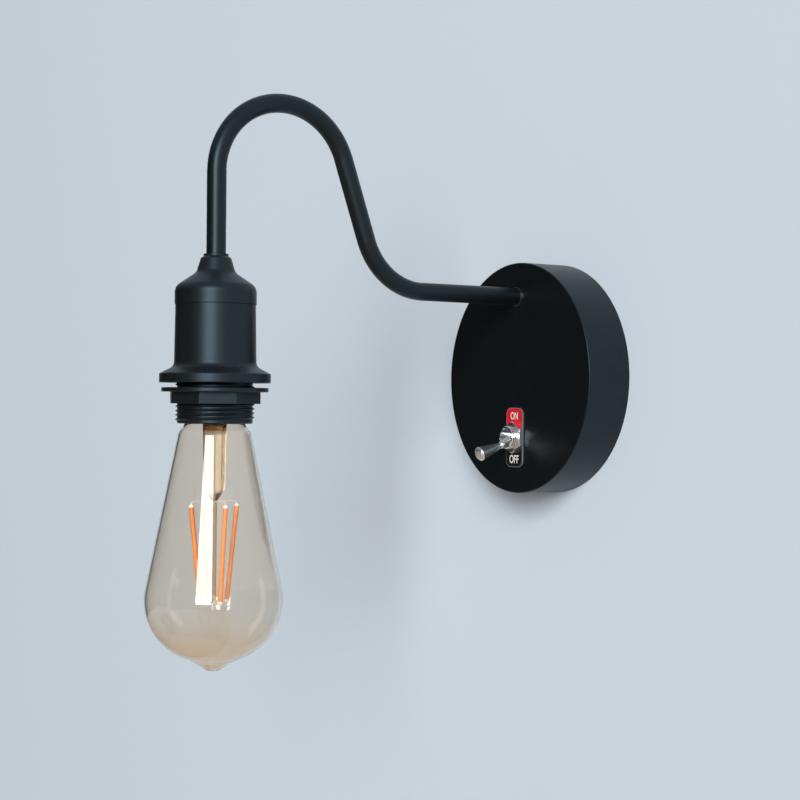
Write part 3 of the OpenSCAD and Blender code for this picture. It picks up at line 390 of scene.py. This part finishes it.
@dataclass(frozen=True)
class Finish:
    """An opaque finish with drift of colour, uneven gloss, fine grain, rubbed edges and dust.

    alpha is how solid it looks in the viewport.
    """

    name: str
    colour: Colour
    second: Colour
    rough: Span
    metallic: float = 0.0
    drift_scale: float = 40.0
    smudge_scale: float = 60.0
    grain_scale: float = 1500.0
    grain_depth: float = 0.02 * MM
    grain_strength: float = 0.2
    edge: float = 0.0
    edge_colour: Colour = (0.05, 0.052, 0.055)
    dust: float = 0.0
    bevel: float = 0.2 * MM
    specular: float = 0.5
    tint: Colour = (1.0, 1.0, 1.0)
    alpha: float = 1.0

    def material(self) -> bpy.types.Material:
        """Gives the finish's material, built on the first call.

        Returns:
            The material.
        """
        found = bpy.data.materials.get(self.name)
        if found:
            return found
        made = bpy.data.materials.new(self.name)
        g = Graph.of(made)
        g.add("ShaderNodeOutputMaterial", {"Surface": self.shader(g)})
        made.diffuse_color = (*self.colour, self.alpha)
        return made

    def shader(self, g: Graph) -> Socket:
        """Builds the shader.

        Args:
            g: the material's graph.

        Returns:
            The shader's socket.
        """
        low, high = self.rough
        gloss = self.effect(g, Effect.SMUDGE, {"Scale": self.smudge_scale, "Low": low, "High": high})
        return g.add("ShaderNodeBsdfPrincipled", {
            "Base Color": self.base_colour(g), "Roughness": gloss, "Normal": self.surface(g),
            "Metallic": self.metallic, "Specular IOR Level": self.specular,
            "Specular Tint": rgba(self.tint)}).outputs[0]

    @staticmethod
    def effect(g: Graph, effect: Effect, values: dict[str, object]) -> Socket:
        """Places a shared effect.

        Args:
            g: the material's graph.
            effect: the effect to place.
            values: its inputs.

        Returns:
            The effect's only output.
        """
        return g.add("ShaderNodeGroup", values, node_tree=EffectGroups.get(effect)).outputs[0]

    def drift(self, g: Graph) -> Socket:
        """Builds the drift between the finish's two colours.

        Args:
            g: the material's graph.

        Returns:
            The colour's socket.
        """
        colours = {"Colour": rgba(self.colour), "Second": rgba(self.second)}
        return self.effect(g, Effect.DRIFT, {**colours, "Scale": self.drift_scale})

    def base_colour(self, g: Graph) -> Socket:
        """Builds the colour with its drift, rubbed edges and dust.

        Args:
            g: the material's graph.

        Returns:
            The colour's socket.
        """
        colour = self.drift(g)
        if self.edge:
            colour = g.mix(self.effect(g, Effect.EDGE, {"Amount": self.edge}), colour, rgba(self.edge_colour))
        if self.dust:
            colour = g.mix(self.effect(g, Effect.DUST, {"Amount": self.dust}), colour, rgba(DUST_COLOUR))
        return colour

    def surface(self, g: Graph) -> Socket:
        """Builds the normal: softened edges under the grain.

        Args:
            g: the material's graph.

        Returns:
            The normal's socket.
        """
        grain = self.effect(g, Effect.GRAIN, {"Scale": self.grain_scale})
        soft = g.add("ShaderNodeBevel", {"Radius": self.bevel}, samples=BEVEL_SAMPLES)
        return g.add("ShaderNodeBump", {
            "Strength": self.grain_strength, "Distance": self.grain_depth, "Height": grain,
            "Normal": soft.outputs[0]}).outputs[0]


@dataclass(frozen=True)
class GlassFinish(Finish):
    """Clear glass with a tint, which lets light through to what it would shade."""

    ior: float = 1.48
    shade: Colour = (0.965, 0.963, 0.96)
    # Painted light: a second tint that the glass takes between two heights, standing in for light or shade
    # that falls on that part
    painted_light_tint: Colour | None = None
    painted_light_heights: Span = (0.0, 0.0)
    alpha: float = 0.35

    def base_colour(self, g: Graph) -> Socket:
        """Builds the tint, which turns between two heights to the painted light tint where one is given:
        painted reflection on the bulb, painted shadow on the stem.

        Args:
            g: the material's graph.

        Returns:
            The colour's socket.
        """
        colour = super().base_colour(g)
        # Painted light and shade by height on the piece, not from the lamps
        if self.painted_light_tint:
            _, _, height = g.axes(g.place())
            colour = g.mix(g.remap(height, self.painted_light_heights), colour, rgba(self.painted_light_tint))
        return colour

    def shader(self, g: Graph) -> Socket:
        """Builds the glass, which is clear to the rays that would shade.

        Args:
            g: the material's graph.

        Returns:
            The shader's socket.
        """
        glass = g.add("ShaderNodeBsdfPrincipled", {
            "Base Color": self.base_colour(g), "Roughness": self.rough[0], "IOR": self.ior,
            "Transmission Weight": 1.0})
        clear = g.add("ShaderNodeBsdfTransparent", {"Color": rgba(self.shade)})
        return g.merge(g.add("ShaderNodeLightPath").outputs["Is Shadow Ray"], glass, clear)


@dataclass(frozen=True)
class PlateFinish(Finish):
    """The enamelled switch plate: a red field over a black one inside a pale border."""

    corner: float = 3.6 * MM
    border: float = 0.4 * MM
    low_colour: Colour = (0.008, 0.008, 0.009)
    border_colour: Colour = (0.13, 0.13, 0.135)

    def base_colour(self, g: Graph) -> Socket:
        """Builds the two fields and the border from the distance to the plate's outline.

        Args:
            g: the material's graph.

        Returns:
            The colour's socket.
        """
        low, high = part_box("on_off_plate")
        middle, half = (low + high) / 2, (high - low) / 2
        x, _, z = g.axes(g.place())
        up = g.math("SUBTRACT", z, middle.z)
        across = g.math("SUBTRACT", g.math("ABSOLUTE", x), half.x - self.corner)
        along = g.math("SUBTRACT", g.math("ABSOLUTE", up), half.z - self.corner)
        squares = [g.math("POWER", g.math("MAXIMUM", side, 0.0), 2.0) for side in (across, along)]
        outside = g.math("SQRT", g.math("ADD", *squares))
        inside = g.math("MINIMUM", g.math("MAXIMUM", across, along), 0.0)
        depth = g.math("SUBTRACT", self.corner, g.math("ADD", outside, inside))
        fields = g.mix(g.math("GREATER_THAN", up, 0.0), rgba(self.low_colour), self.drift(g))
        return g.mix(g.math("LESS_THAN", depth, self.border), fields, rgba(self.border_colour))


BLUE_SHEEN: Colour = (0.58, 0.82, 1.0)


@dataclass(frozen=True)
class Finishes:
    """Every finish of the lamp."""

    paint: Finish = Finish(
        "black_powder_coat", (0.0018, 0.0027, 0.0035), (0.0025, 0.0035, 0.0043), (0.34, 0.42), dust=0.006,
        tint=BLUE_SHEEN, specular=0.45, grain_scale=1400.0, grain_strength=0.16, edge=0.05, bevel=0.5 * MM)
    plastic: Finish = Finish(
        "black_moulding", (0.0036, 0.0046, 0.0056), (0.0045, 0.0057, 0.0068), (0.36, 0.46), dust=0.008,
        tint=BLUE_SHEEN, specular=0.45, grain_scale=2100.0, grain_strength=0.14, edge=0.04, bevel=0.3 * MM)
    chrome: Finish = Finish(
        "bright_chrome", (0.82, 0.83, 0.84), (0.76, 0.77, 0.79), (0.12, 0.22), metallic=1.0,
        grain_strength=0.03, smudge_scale=180.0, bevel=0.15 * MM)
    satin: Finish = Finish(
        "satin_chrome", (0.8, 0.81, 0.83), (0.74, 0.75, 0.78), (0.24, 0.34), metallic=1.0,
        grain_strength=0.05, smudge_scale=200.0)
    nickel: Finish = Finish(
        "black_nickel", (0.2, 0.204, 0.21), (0.25, 0.254, 0.26), (0.24, 0.34), metallic=1.0)
    zinc: Finish = Finish(
        "zinc_plate", (0.56, 0.57, 0.56), (0.6, 0.59, 0.52), (0.28, 0.42), metallic=1.0, drift_scale=90.0,
        grain_strength=0.1, smudge_scale=120.0)
    brass: Finish = Finish(
        "plain_brass", (0.74, 0.53, 0.23), (0.66, 0.45, 0.19), (0.18, 0.32), metallic=1.0, drift_scale=110.0,
        grain_strength=0.06, smudge_scale=150.0)
    white: Finish = Finish(
        "white_moulding", (0.72, 0.71, 0.66), (0.66, 0.64, 0.58), (0.35, 0.5), dust=0.05)
    brown: Finish = Finish(
        "brown_moulding", (0.075, 0.035, 0.017), (0.055, 0.026, 0.013), (0.3, 0.42))
    rubber: Finish = Finish(
        "cable_rubber", (0.018, 0.018, 0.018), (0.026, 0.025, 0.024), (0.6, 0.75), dust=0.06)
    plate: Finish = PlateFinish(
        "enamelled_plate", (0.62, 0.014, 0.024), (0.52, 0.01, 0.018), (0.22, 0.32), grain_strength=0.05)
    letters: Finish = Finish(
        "white_enamel", (0.8, 0.8, 0.79), (0.72, 0.72, 0.7), (0.25, 0.35), grain_strength=0.05)
    # Painted reflection: the amber deepens towards the bottom of the bulb in place of the warm floor's
    # reflection
    glass: Finish = GlassFinish(
        "blown_amber", (0.952, 0.888, 0.815), (0.945, 0.878, 0.8), (0.0, 0.0), drift_scale=12.0,
        painted_light_tint=(0.948, 0.784, 0.617), painted_light_heights=(-112.0 * MM, -132.0 * MM))
    # Painted shadow: the top of the stem turns dark brown in place of the shadow under the cap
    stem: Finish = GlassFinish(
        "stem_glass", (0.86, 0.72, 0.52), (0.83, 0.69, 0.49), (0.02, 0.02),
        painted_light_tint=(0.26, 0.13, 0.06), painted_light_heights=(-29.5 * MM, -26.5 * MM))
    seal: Finish = Finish(
        "black_seal", (0.006, 0.006, 0.006), (0.01, 0.01, 0.011), (0.12, 0.2))
    tin: Finish = Finish(
        "tinned_wire", (0.62, 0.62, 0.6), (0.56, 0.55, 0.53), (0.4, 0.5), metallic=0.3)
    phosphor: Finish = Finish(
        "orange_phosphor", (0.62, 0.2, 0.038), (0.55, 0.16, 0.026), (0.5, 0.62), drift_scale=400.0)
    ceramic: Finish = Finish(
        "filament_ends", (0.8, 0.78, 0.74), (0.7, 0.68, 0.63), (0.4, 0.5))
    circuit: Finish = Finish(
        "circuit_board", (0.02, 0.11, 0.035), (0.03, 0.15, 0.05), (0.3, 0.45), drift_scale=300.0)
    brown_lead: Finish = Finish(
        "brown_insulation", (0.16, 0.055, 0.018), (0.13, 0.045, 0.015), (0.4, 0.5))
    blue_lead: Finish = Finish(
        "blue_insulation", (0.02, 0.08, 0.3), (0.018, 0.065, 0.25), (0.4, 0.5))
    green_lead: Finish = Finish(
        "green_insulation", (0.1, 0.32, 0.03), (0.55, 0.5, 0.03), (0.4, 0.5), drift_scale=160.0)


FINISH = Finishes()


class Shape:
    """Mesh builders."""

    # A point nearer to the axis than this lies on it
    ON_AXIS = 1e-7

    @staticmethod
    def corner(a: Vector, b: Vector, c: Vector, radius: float, steps: int) -> Outline:
        """Rounds corner b of an outline.

        Args:
            a: the point before it.
            b: the corner.
            c: the point after it.
            radius: the rounding's radius.
            steps: the number of steps in the rounding.

        Returns:
            The points of the rounding.
        """
        u, v = (a - b).normalized(), (c - b).normalized()
        half = u.angle(v) / 2
        centre = b + (u + v).normalized() * radius / math.sin(half)
        p = b + u * radius / math.tan(half) - centre
        q = b + v * radius / math.tan(half) - centre
        start = math.atan2(p.y, p.x)
        turn = (math.atan2(q.y, q.x) - start + math.pi) % (2 * math.pi) - math.pi
        angles = [start + turn * i / steps for i in range(steps + 1)]
        return [(centre.x + radius * math.cos(angle), centre.y + radius * math.sin(angle))
                for angle in angles]

    @staticmethod
    def rounded(points: list[Corner], steps: int = 10) -> Outline:
        """Rounds an open outline.

        Args:
            points: x, y and the corner's radius.
            steps: the number of steps in each rounding.

        Returns:
            The rounded outline.
        """
        found: Outline = []
        for i, (x, y, radius) in enumerate(points):
            if radius > 0:
                a, b, c = (Vector(points[k][:2]) for k in (i - 1, i, i + 1))
                found += Shape.corner(a, b, c, radius, steps)
            else:
                found.append((x, y))
        return found

    @staticmethod
    def mesh(name: str, points: list[Point], faces: Faces, finish: Finish) -> bpy.types.Object:
        """Makes a smooth piece.

        Args:
            name: the piece's name.
            points: its corners in the lamp's frame, in metres.
            faces: corner numbers of each face.
            finish: the piece's finish.

        Returns:
            The new object.
        """
        data = bpy.data.meshes.new(name)
        data.from_pydata(points, [], faces)
        data.validate()
        data.polygons.foreach_set("use_smooth", [True] * len(data.polygons))
        data.materials.append(finish.material())
        LOG.info("built %s", name)
        return link(name, data)

    @staticmethod
    def lathe(outline: Outline, origin: Vector, sides: int) -> tuple[list[Point], Faces]:
        """Turns an outline about the vertical through a point.

        Args:
            outline: distance from the axis and height; a distance of 0 closes the end.
            origin: the point that heights start from.
            sides: the number of sides.

        Returns:
            The corners and the faces.
        """
        points: list[Point] = []
        rows: list[list[int]] = []
        for r, z in outline:
            first = len(points)
            count = 1 if r < Shape.ON_AXIS else sides
            for k in range(count):
                a = 2 * math.pi * k / sides
                points.append((origin.x + r * math.cos(a), origin.y + r * math.sin(a), origin.z + z))
            rows.append([first + k % count for k in range(sides)])
        faces: Faces = []
        for low, high in zip(rows, rows[1:]):
            for k in range(sides):
                m = (k + 1) % sides
                face = tuple(dict.fromkeys((low[k], low[m], high[m], high[k])))
                if len(face) > 2:
                    faces.append(face)
        return points, faces

    @staticmethod
    def tube(line: list[Vector], radius: float, sides: int) -> tuple[list[Point], Faces]:
        """Makes a closed round bar along points.

        Args:
            line: the points of the middle line.
            radius: the bar's radius.
            sides: the number of sides.

        Returns:
            The corners and the faces.
        """
        points: list[Point] = []
        last = len(line) - 1
        heads = [(line[min(i + 1, last)] - line[max(i - 1, 0)]).normalized() for i in range(len(line))]
        side = heads[0].orthogonal().normalized()
        for p, head in zip(line, heads):
            side = (side - head * side.dot(head)).normalized()
            other = head.cross(side)
            for k in range(sides):
                a = 2 * math.pi * k / sides
                points.append(tuple(p + radius * (math.cos(a) * side + math.sin(a) * other)))
        faces: Faces = []
        for i in range(last):
            low, high = i * sides, (i + 1) * sides
            for k in range(sides):
                m = (k + 1) % sides
                faces.append((low + k, low + m, high + m, high + k))
        faces.append(tuple(reversed(range(sides))))
        faces.append(tuple(range(last * sides, len(line) * sides)))
        return points, faces


@dataclass
class SubAssembly:
    """Pieces that belong together, with the finish of each of their solids."""

    finishes: dict[str, Finish] = field(default_factory=dict)

    def dress(self) -> None:
        """Gives each solid its finish."""
        for name, finish in self.finishes.items():
            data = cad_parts[name].data
            data.materials.clear()
            data.materials.append(finish.material())
            LOG.info("dressed %s with %s", name, finish.name)

    def build(self) -> None:
        """Builds pieces beyond the solids; a plain sub-assembly has none."""


@dataclass
class Rose(SubAssembly):
    """The round cover, the bracket behind it and the cable's way in."""

    finishes: dict[str, Finish] = field(default_factory=lambda: {
        "rose_cover": FINISH.paint, "locating_pin": FINISH.zinc, "side_screw": FINISH.chrome,
        "wall_bracket": FINISH.zinc, "cable_bush": FINISH.rubber, "terminal_block": FINISH.white,
        "terminal_sleeves": FINISH.brass, "terminal_screws": FINISH.brass, "block_screw": FINISH.zinc,
        "earth_screw": FINISH.brass, "earth_washer": FINISH.zinc, "earth_lug": FINISH.brass,
        "switched_lead": FINISH.brown_lead, "neutral_lead": FINISH.blue_lead,
        "live_lead": FINISH.brown_lead, "earth_lead": FINISH.green_lead})


@dataclass
class Arm(SubAssembly):
    """The swan-neck tube and what holds it in the rose."""

    finishes: dict[str, Finish] = field(default_factory=lambda: {
        "arm_tube": FINISH.paint, "arm_collar": FINISH.nickel, "arm_washer": FINISH.zinc,
        "arm_nut": FINISH.zinc})


@dataclass
class Switch(SubAssembly):
    """The toggle switch with its lettered plate.

    Heights are above the plate's middle. font_size and stroke are shares of a letter's height, and
    narrowing is a letter's width against the font's own.
    """

    on_height: float = 11.0 * MM
    off_height: float = -11.6 * MM
    on_letter: float = 3.9 * MM
    off_letter: float = 4.35 * MM
    relief: float = 0.04 * MM
    font_size: float = 1.35
    stroke: float = 0.02
    narrowing: float = 0.78
    finishes: dict[str, Finish] = field(default_factory=lambda: {
        "on_off_plate": FINISH.plate, "front_nut": FINISH.satin, "lock_washer": FINISH.zinc,
        "back_nut": FINISH.zinc, "switch_bush": FINISH.chrome, "switch_frame": FINISH.zinc,
        "switch_housing": FINISH.brown, "pivot_pin": FINISH.zinc, "common_terminal": FINISH.brass,
        "load_terminal": FINISH.brass, "toggle_lever": FINISH.satin, "toggle_plunger": FINISH.brass,
        "toggle_spring": FINISH.zinc, "contact_rocker": FINISH.brass})

    def build(self) -> None:
        """Builds the lettering."""
        self.word("ON", self.on_height, self.on_letter)
        self.word("OFF", self.off_height, self.off_letter)

    def word(self, text: str, height: float, letter: float) -> bpy.types.Object:
        """Builds a word on the plate.

        Args:
            text: the word.
            height: its middle above the plate's.
            letter: the height of its letters.

        Returns:
            The word as a mesh piece.
        """
        low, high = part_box("on_off_plate")
        middle = (low + high) / 2
        name = f"legend_{text.lower()}"
        curve = bpy.data.curves.new(f"{name}_outline", "FONT")
        curve.body = text
        curve.size = letter * self.font_size
        curve.align_x = "CENTER"
        curve.align_y = "CENTER"
        curve.extrude = self.relief / 2
        curve.offset = letter * self.stroke
        maker = link("letter_maker", curve)
        maker.matrix_world = (Matrix.Translation((middle.x, low.y - self.relief / 2, middle.z + height))
                              @ Matrix.Rotation(math.pi / 2, 4, "X")
                              @ Matrix.Diagonal((self.narrowing, 1.0, 1.0, 1.0)))
        bpy.context.view_layer.update()
        data = bpy.data.meshes.new_from_object(maker.evaluated_get(bpy.context.evaluated_depsgraph_get()))
        data.transform(maker.matrix_world)
        bpy.data.objects.remove(maker)
        data.materials.clear()
        data.materials.append(FINISH.letters.material())
        piece = link(name, data)
        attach(piece, Body.LAMP.value)
        LOG.info("built %s", name)
        return piece


@dataclass
class LampHolder(SubAssembly):
    """The lamp holder with its shade ring and contacts."""

    spring_wire: float = 0.4 * MM
    spring_turns: int = 5
    spring_steps: int = 24
    wire_sides: int = 12
    finishes: dict[str, Finish] = field(default_factory=lambda: {
        "neck_ring": FINISH.plastic, "holder_cap": FINISH.plastic, "neck_screw": FINISH.zinc,
        "holder_shell": FINISH.plastic, "threaded_skirt": FINISH.plastic, "shade_ring": FINISH.plastic,
        "contact_carrier": FINISH.white, "thread_shell": FINISH.brass, "shell_strap": FINISH.brass,
        "holder_terminals": FINISH.brass, "holder_screws": FINISH.zinc, "centre_contact": FINISH.brass,
        "contact_spring": FINISH.zinc, "contact_clip": FINISH.zinc})

    def build(self) -> None:
        """Builds the centre contact's spring as a coiled wire, in place of the solid one."""
        low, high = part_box("contact_spring")
        middle = (low + high) / 2
        radius = (high.x - low.x) / 2 - self.spring_wire
        foot = low.z + self.spring_wire
        rise = high.z - self.spring_wire - foot
        count = self.spring_turns * self.spring_steps
        line: list[Vector] = []
        for i in range(count + 1):
            a = 2 * math.pi * i / self.spring_steps
            line.append(Vector((middle.x + radius * math.cos(a), middle.y + radius * math.sin(a),
                                foot + rise * i / count)))
        points, faces = Shape.tube(line, self.spring_wire, self.wire_sides)
        spring = Shape.mesh("stretching_spring", points, faces, FINISH.zinc)
        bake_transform(spring)
        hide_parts("contact_spring")


@dataclass
class Bulb(SubAssembly):
    """The filament bulb, with its glass turned finer than the solid.

    Lengths are in millimetres, and heights are above the pip's end. A pair is a distance from the
    axis and a height. cap_steps are distances beyond a filament's end.
    """

    widest: float = 64.0
    belly: float = 32.8
    dome: float = 28.3
    taper: float = math.radians(11.5)
    dome_foot: float = math.radians(66)
    pip: Span = (9.2, 4.2)
    pip_round: float = 18.0
    nose: float = 2.8
    nose_round: float = 6.0
    wall: float = 0.9
    neck: float = 11.6
    neck_drop: float = 1.2
    neck_round: float = 1.5
    rim: float = 118.6
    in_cap: float = 6.0
    shoulder_drop: float = 8.4
    shoulder_round: float = 6.0
    sides: int = 128
    dome_steps: int = 48
    side_steps: int = 24
    side_points: int = 20
    filaments: int = 4
    filament_top: Span = (11.6, 75.8)
    filament_foot: Span = (6.9, 32.8)
    cap_radius: float = 1.15
    cap_steps: tuple[float, ...] = (0.1, 0.6, 1.1)
    cap_sides: int = 12
    finishes: dict[str, Finish] = field(default_factory=lambda: {
        "bulb_glass": FINISH.glass, "bulb_cap": FINISH.zinc, "cap_insulator": FINISH.seal,
        "cap_contact": FINISH.brass, "driver_board": FINISH.circuit, "glass_stem": FINISH.stem,
        "filament_wires": FINISH.tin, "led_filaments": FINISH.phosphor})

    @property
    def pip_end(self) -> Vector:
        """Gives the lower end of the glass on its axis, in metres."""
        low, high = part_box("bulb_glass")
        middle = (low + high) / 2
        return Vector((middle.x, middle.y, low.z))

    def envelope(self, inset: float) -> Outline:
        """Gives half the outline of the glass.

        Args:
            inset: how far inside its outer face.

        Returns:
            Distances from the axis and heights.
        """
        cx, cz, r = self.widest / 2 - self.dome, self.belly, self.dome - inset
        neck = self.neck - inset
        lean = math.atan2(self.pip[1], self.pip[0] - self.nose)
        face = (lean + math.pi / 2 - self.dome_foot) / 2
        top = Vector((cx + r * math.cos(self.taper), cz + r * math.sin(self.taper)))
        low = Vector((cx + r * math.cos(self.dome_foot), cz - r * math.sin(self.dome_foot)))
        shoulder_z = self.rim - self.shoulder_drop
        shoulder = Vector((top.x - (shoulder_z - top.y) * math.tan(self.taper), shoulder_z))
        foot = Shape.rounded([
            (0, inset, 0),
            (self.nose - inset * math.tan(lean / 2), inset, self.nose_round),
            (self.pip[0] - inset * math.sin(face), self.pip[1] + inset * math.cos(face), self.pip_round),
            (*low, 0)])
        sweep = self.taper + self.dome_foot
        turns = [sweep * i / self.dome_steps - self.dome_foot for i in range(1, self.dome_steps)]
        dome = [(cx + r * math.cos(a), cz + r * math.sin(a)) for a in turns]
        side = [tuple(top.lerp(shoulder, i / self.side_steps)) for i in range(self.side_points)]
        upper = Shape.rounded([
            (*side[-1], 0),
            (*shoulder, self.shoulder_round),
            (neck, self.rim - self.neck_drop, self.neck_round),
            (neck, self.rim + self.in_cap, 0)])
        return foot + dome + side[:-1] + upper

    def build(self) -> None:
        """Builds the glass and the ends of the filaments."""
        outline = self.envelope(0) + self.envelope(self.wall)[::-1]
        outline = [(r * MM, z * MM) for r, z in outline]
        points, faces = Shape.lathe(outline, self.pip_end, self.sides)
        glass = Shape.mesh("blown_glass", points, faces, FINISH.glass)
        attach(glass, Body.BULB.value)
        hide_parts("bulb_glass")
        self.caps()

    def caps(self) -> None:
        """Builds the white ends of the filaments."""
        points: list[Point] = []
        faces: Faces = []
        top = Vector((self.filament_top[0], 0, self.filament_top[1]))
        foot = Vector((self.filament_foot[0], 0, self.filament_foot[1]))
        along = (top - foot).normalized()
        for i in range(self.filaments):
            turn = Matrix.Rotation(2 * math.pi * i / self.filaments, 3, "Z")
            for end, out in ((top, along), (foot, -along)):
                line = [turn @ (end + out * step) * MM + self.pip_end for step in self.cap_steps]
                more, sides = Shape.tube(line, self.cap_radius * MM, self.cap_sides)
                faces += [tuple(k + len(points) for k in face) for face in sides]
                points += more
        ends = Shape.mesh("filament_caps", points, faces, FINISH.ceramic)
        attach(ends, Body.BULB.value)


@dataclass(frozen=True)
class SoftLight:
    """A soft rectangular light that faces the bulb.

    It stands turn degrees to the right of the camera, seen from the bulb, and rise degrees above the
    bulb. Its size is in metres and its power in watts. One that isn't mirrored shows on no glossy
    surface and through no glass.
    """

    name: str
    turn: float
    rise: float
    size: Span
    power: float
    colour: Colour
    mirrored: bool = True


@dataclass
class Studio:
    """Wall, floor, lights and camera.

    fill is the even light of the surroundings. Their other levels show only where they are mirrored
    or seen through glass.
    """

    wall_colour: Colour = (0.565, 0.631, 0.694)
    wall_in: float = 0.3 * MM
    wall_half: float = 8.0
    floor_colour: Colour = (0.54, 0.47, 0.39)
    floor_at: Point = (0.0, -2.0, -1.1)
    floor_half: float = 4.0
    fill: float = 0.22
    fill_hue: Colour = (1.0, 0.95, 0.89)
    mirrored_hue: Colour = (0.84, 0.94, 1.0)
    horizon: float = 0.015
    camera_side: float = 0.14
    camera_span: Span = (0.45, 0.95)
    zenith: float = 0.5
    zenith_span: Span = (0.15, 0.8)
    rear: float = 0.55
    rear_span: Span = (0.05, 0.3)
    bulb: Vector = field(default_factory=lambda: Vector((0, -0.2, -0.09)))
    to_camera: Vector = field(default_factory=lambda: Vector((0.898, -0.44, 0)))
    light_away: float = 18.0
    lights: tuple[SoftLight, ...] = (
        SoftLight("softbox", -16.5, 14.0, (8.52, 9.3), 2880.0, (0.95, 0.98, 1.0)),
        SoftLight("beige_panel", 22.0, 12.0, (13.2, 9.6), 440.0, (1.0, 0.8, 0.56)),
        SoftLight("key", -16.5, 20.0, (6.0, 6.0), 1500.0, (0.98, 0.99, 1.0), mirrored=False),
        SoftLight("rear", 116.0, 20.0, (8.0, 8.0), 2400.0, (0.98, 0.99, 1.0), mirrored=False))
    camera_at: Point = (0.669996, -0.527716, -0.011984)
    camera_turn: float = 1.00023
    camera_roll: float = 0.00785
    lens: float = 72.0
    sensor: float = 36.0

    def stand(self) -> None:
        """Builds everything around the lamp."""
        self.world()
        upright = Matrix.Translation((0, -self.wall_in, 0)) @ Matrix.Rotation(math.pi / 2, 4, "X")
        self.sheet("wall", upright, self.wall_half, self.wall_colour)
        self.sheet("floor", Matrix.Translation(self.floor_at), self.floor_half, self.floor_colour)
        for light in self.lights:
            self.lamp(light)
        self.camera()

    def world(self) -> None:
        """Makes the surroundings, pale to the camera.

        Where they are mirrored, they are brighter on the camera's side, overhead and behind the wall.
        """
        made = bpy.data.worlds.new("studio")
        bpy.context.scene.world = made
        g = Graph.of(made)
        path = g.add("ShaderNodeLightPath").outputs
        way = g.add("ShaderNodeTexCoord").outputs["Generated"]
        _, back, height = g.axes(way)
        facing = g.add("ShaderNodeVectorMath", {0: way, 1: self.to_camera}, operation="DOT_PRODUCT")
        room = g.remap(facing.outputs["Value"], self.camera_span, self.horizon, self.camera_side)
        ceiling = g.remap(height, self.zenith_span, room, self.zenith)
        behind = g.remap(back, self.rear_span, 0.0, self.rear)
        mirrored = g.math("MAXIMUM", path["Is Glossy Ray"], path["Is Transmission Ray"])
        level = g.remap(mirrored, low=self.fill, high=g.math("MAXIMUM", ceiling, behind))
        hue = g.mix(mirrored, rgba(self.fill_hue), rgba(self.mirrored_hue))
        dim = g.add("ShaderNodeBackground", {"Color": hue, "Strength": level})
        pale = g.add("ShaderNodeBackground", {"Color": rgba(self.wall_colour), "Strength": 1.0})
        g.add("ShaderNodeOutputWorld", {"Surface": g.merge(path["Is Camera Ray"], dim, pale)})

    def sheet(self, name: str, place: Matrix, half: float, colour: Colour) -> None:
        """Makes a one-sided backdrop that stops no lamp's light.

        Args:
            name: the backdrop's name.
            place: where it stands.
            half: half its width.
            colour: its colour.
        """
        data = bpy.data.meshes.new(name)
        corners = [(-half, -half, 0), (half, -half, 0), (half, half, 0), (-half, half, 0)]
        data.from_pydata([tuple(place @ Vector(corner)) for corner in corners], [], [(0, 1, 2, 3)])
        made = bpy.data.materials.new(f"{name}_paint")
        g = Graph.of(made)
        path = g.add("ShaderNodeLightPath").outputs
        seen = g.math("MAXIMUM", path["Is Camera Ray"], path["Is Glossy Ray"])
        seen = g.math("MAXIMUM", seen, path["Is Transmission Ray"])
        front = g.math("SUBTRACT", 1.0, g.add("ShaderNodeNewGeometry").outputs["Backfacing"])
        clear = g.add("ShaderNodeBsdfTransparent")
        paint = g.add("ShaderNodeBsdfDiffuse", {"Color": rgba(colour)})
        g.add("ShaderNodeOutputMaterial", {"Surface": g.merge(g.math("MULTIPLY", seen, front), clear, paint)})
        data.materials.append(made)
        backdrop = link(name, data)

    def lamp(self, light: SoftLight) -> None:
        """Places a light.

        Args:
            light: what it is and where it stands.
        """
        data = bpy.data.lights.new(light.name, "AREA")
        data.shape = "RECTANGLE"
        data.size, data.size_y = light.size
        data.energy = light.power
        data.color = light.colour
        rise = math.radians(light.rise)
        level = Matrix.Rotation(math.radians(light.turn), 3, "Z") @ self.to_camera.normalized()
        toward = level * math.cos(rise) + Vector((0, 0, math.sin(rise)))
        made = link(light.name, data)
        made.location = self.bulb + toward * self.light_away
        made.rotation_euler = (-toward).to_track_quat("-Z", "Y").to_euler()
        made.visible_glossy = light.mirrored
        made.visible_transmission = light.mirrored

    def camera(self) -> None:
        """Places the camera as the photograph was taken."""
        data = bpy.data.cameras.new("camera")
        data.lens = self.lens
        data.sensor_width = self.sensor
        a, roll = self.camera_turn, self.camera_roll
        ahead = Vector((-math.sin(a), math.cos(a), 0))
        right = Vector((math.cos(a), math.sin(a), 0))
        up = Vector((0, 0, 1))
        x = right * math.cos(roll) + up * math.sin(roll)
        y = up * math.cos(roll) - right * math.sin(roll)
        made = link("camera", data)
        made.matrix_world = Matrix.Translation(self.camera_at) @ Matrix((x, y, -ahead)).transposed().to_4x4()
        bpy.context.scene.camera = made


def main() -> None:
    """Builds the studio and the lamp's sub-assemblies in order."""
    logging.basicConfig(level=logging.INFO, format="%(message)s")
    bpy.context.scene.view_settings.view_transform = "Standard"
    Studio().stand()
    for part in (Rose(), Arm(), Switch(), LampHolder(), Bulb()):
        part.dress()
        part.build()


if __name__ == "__main__":
    main()
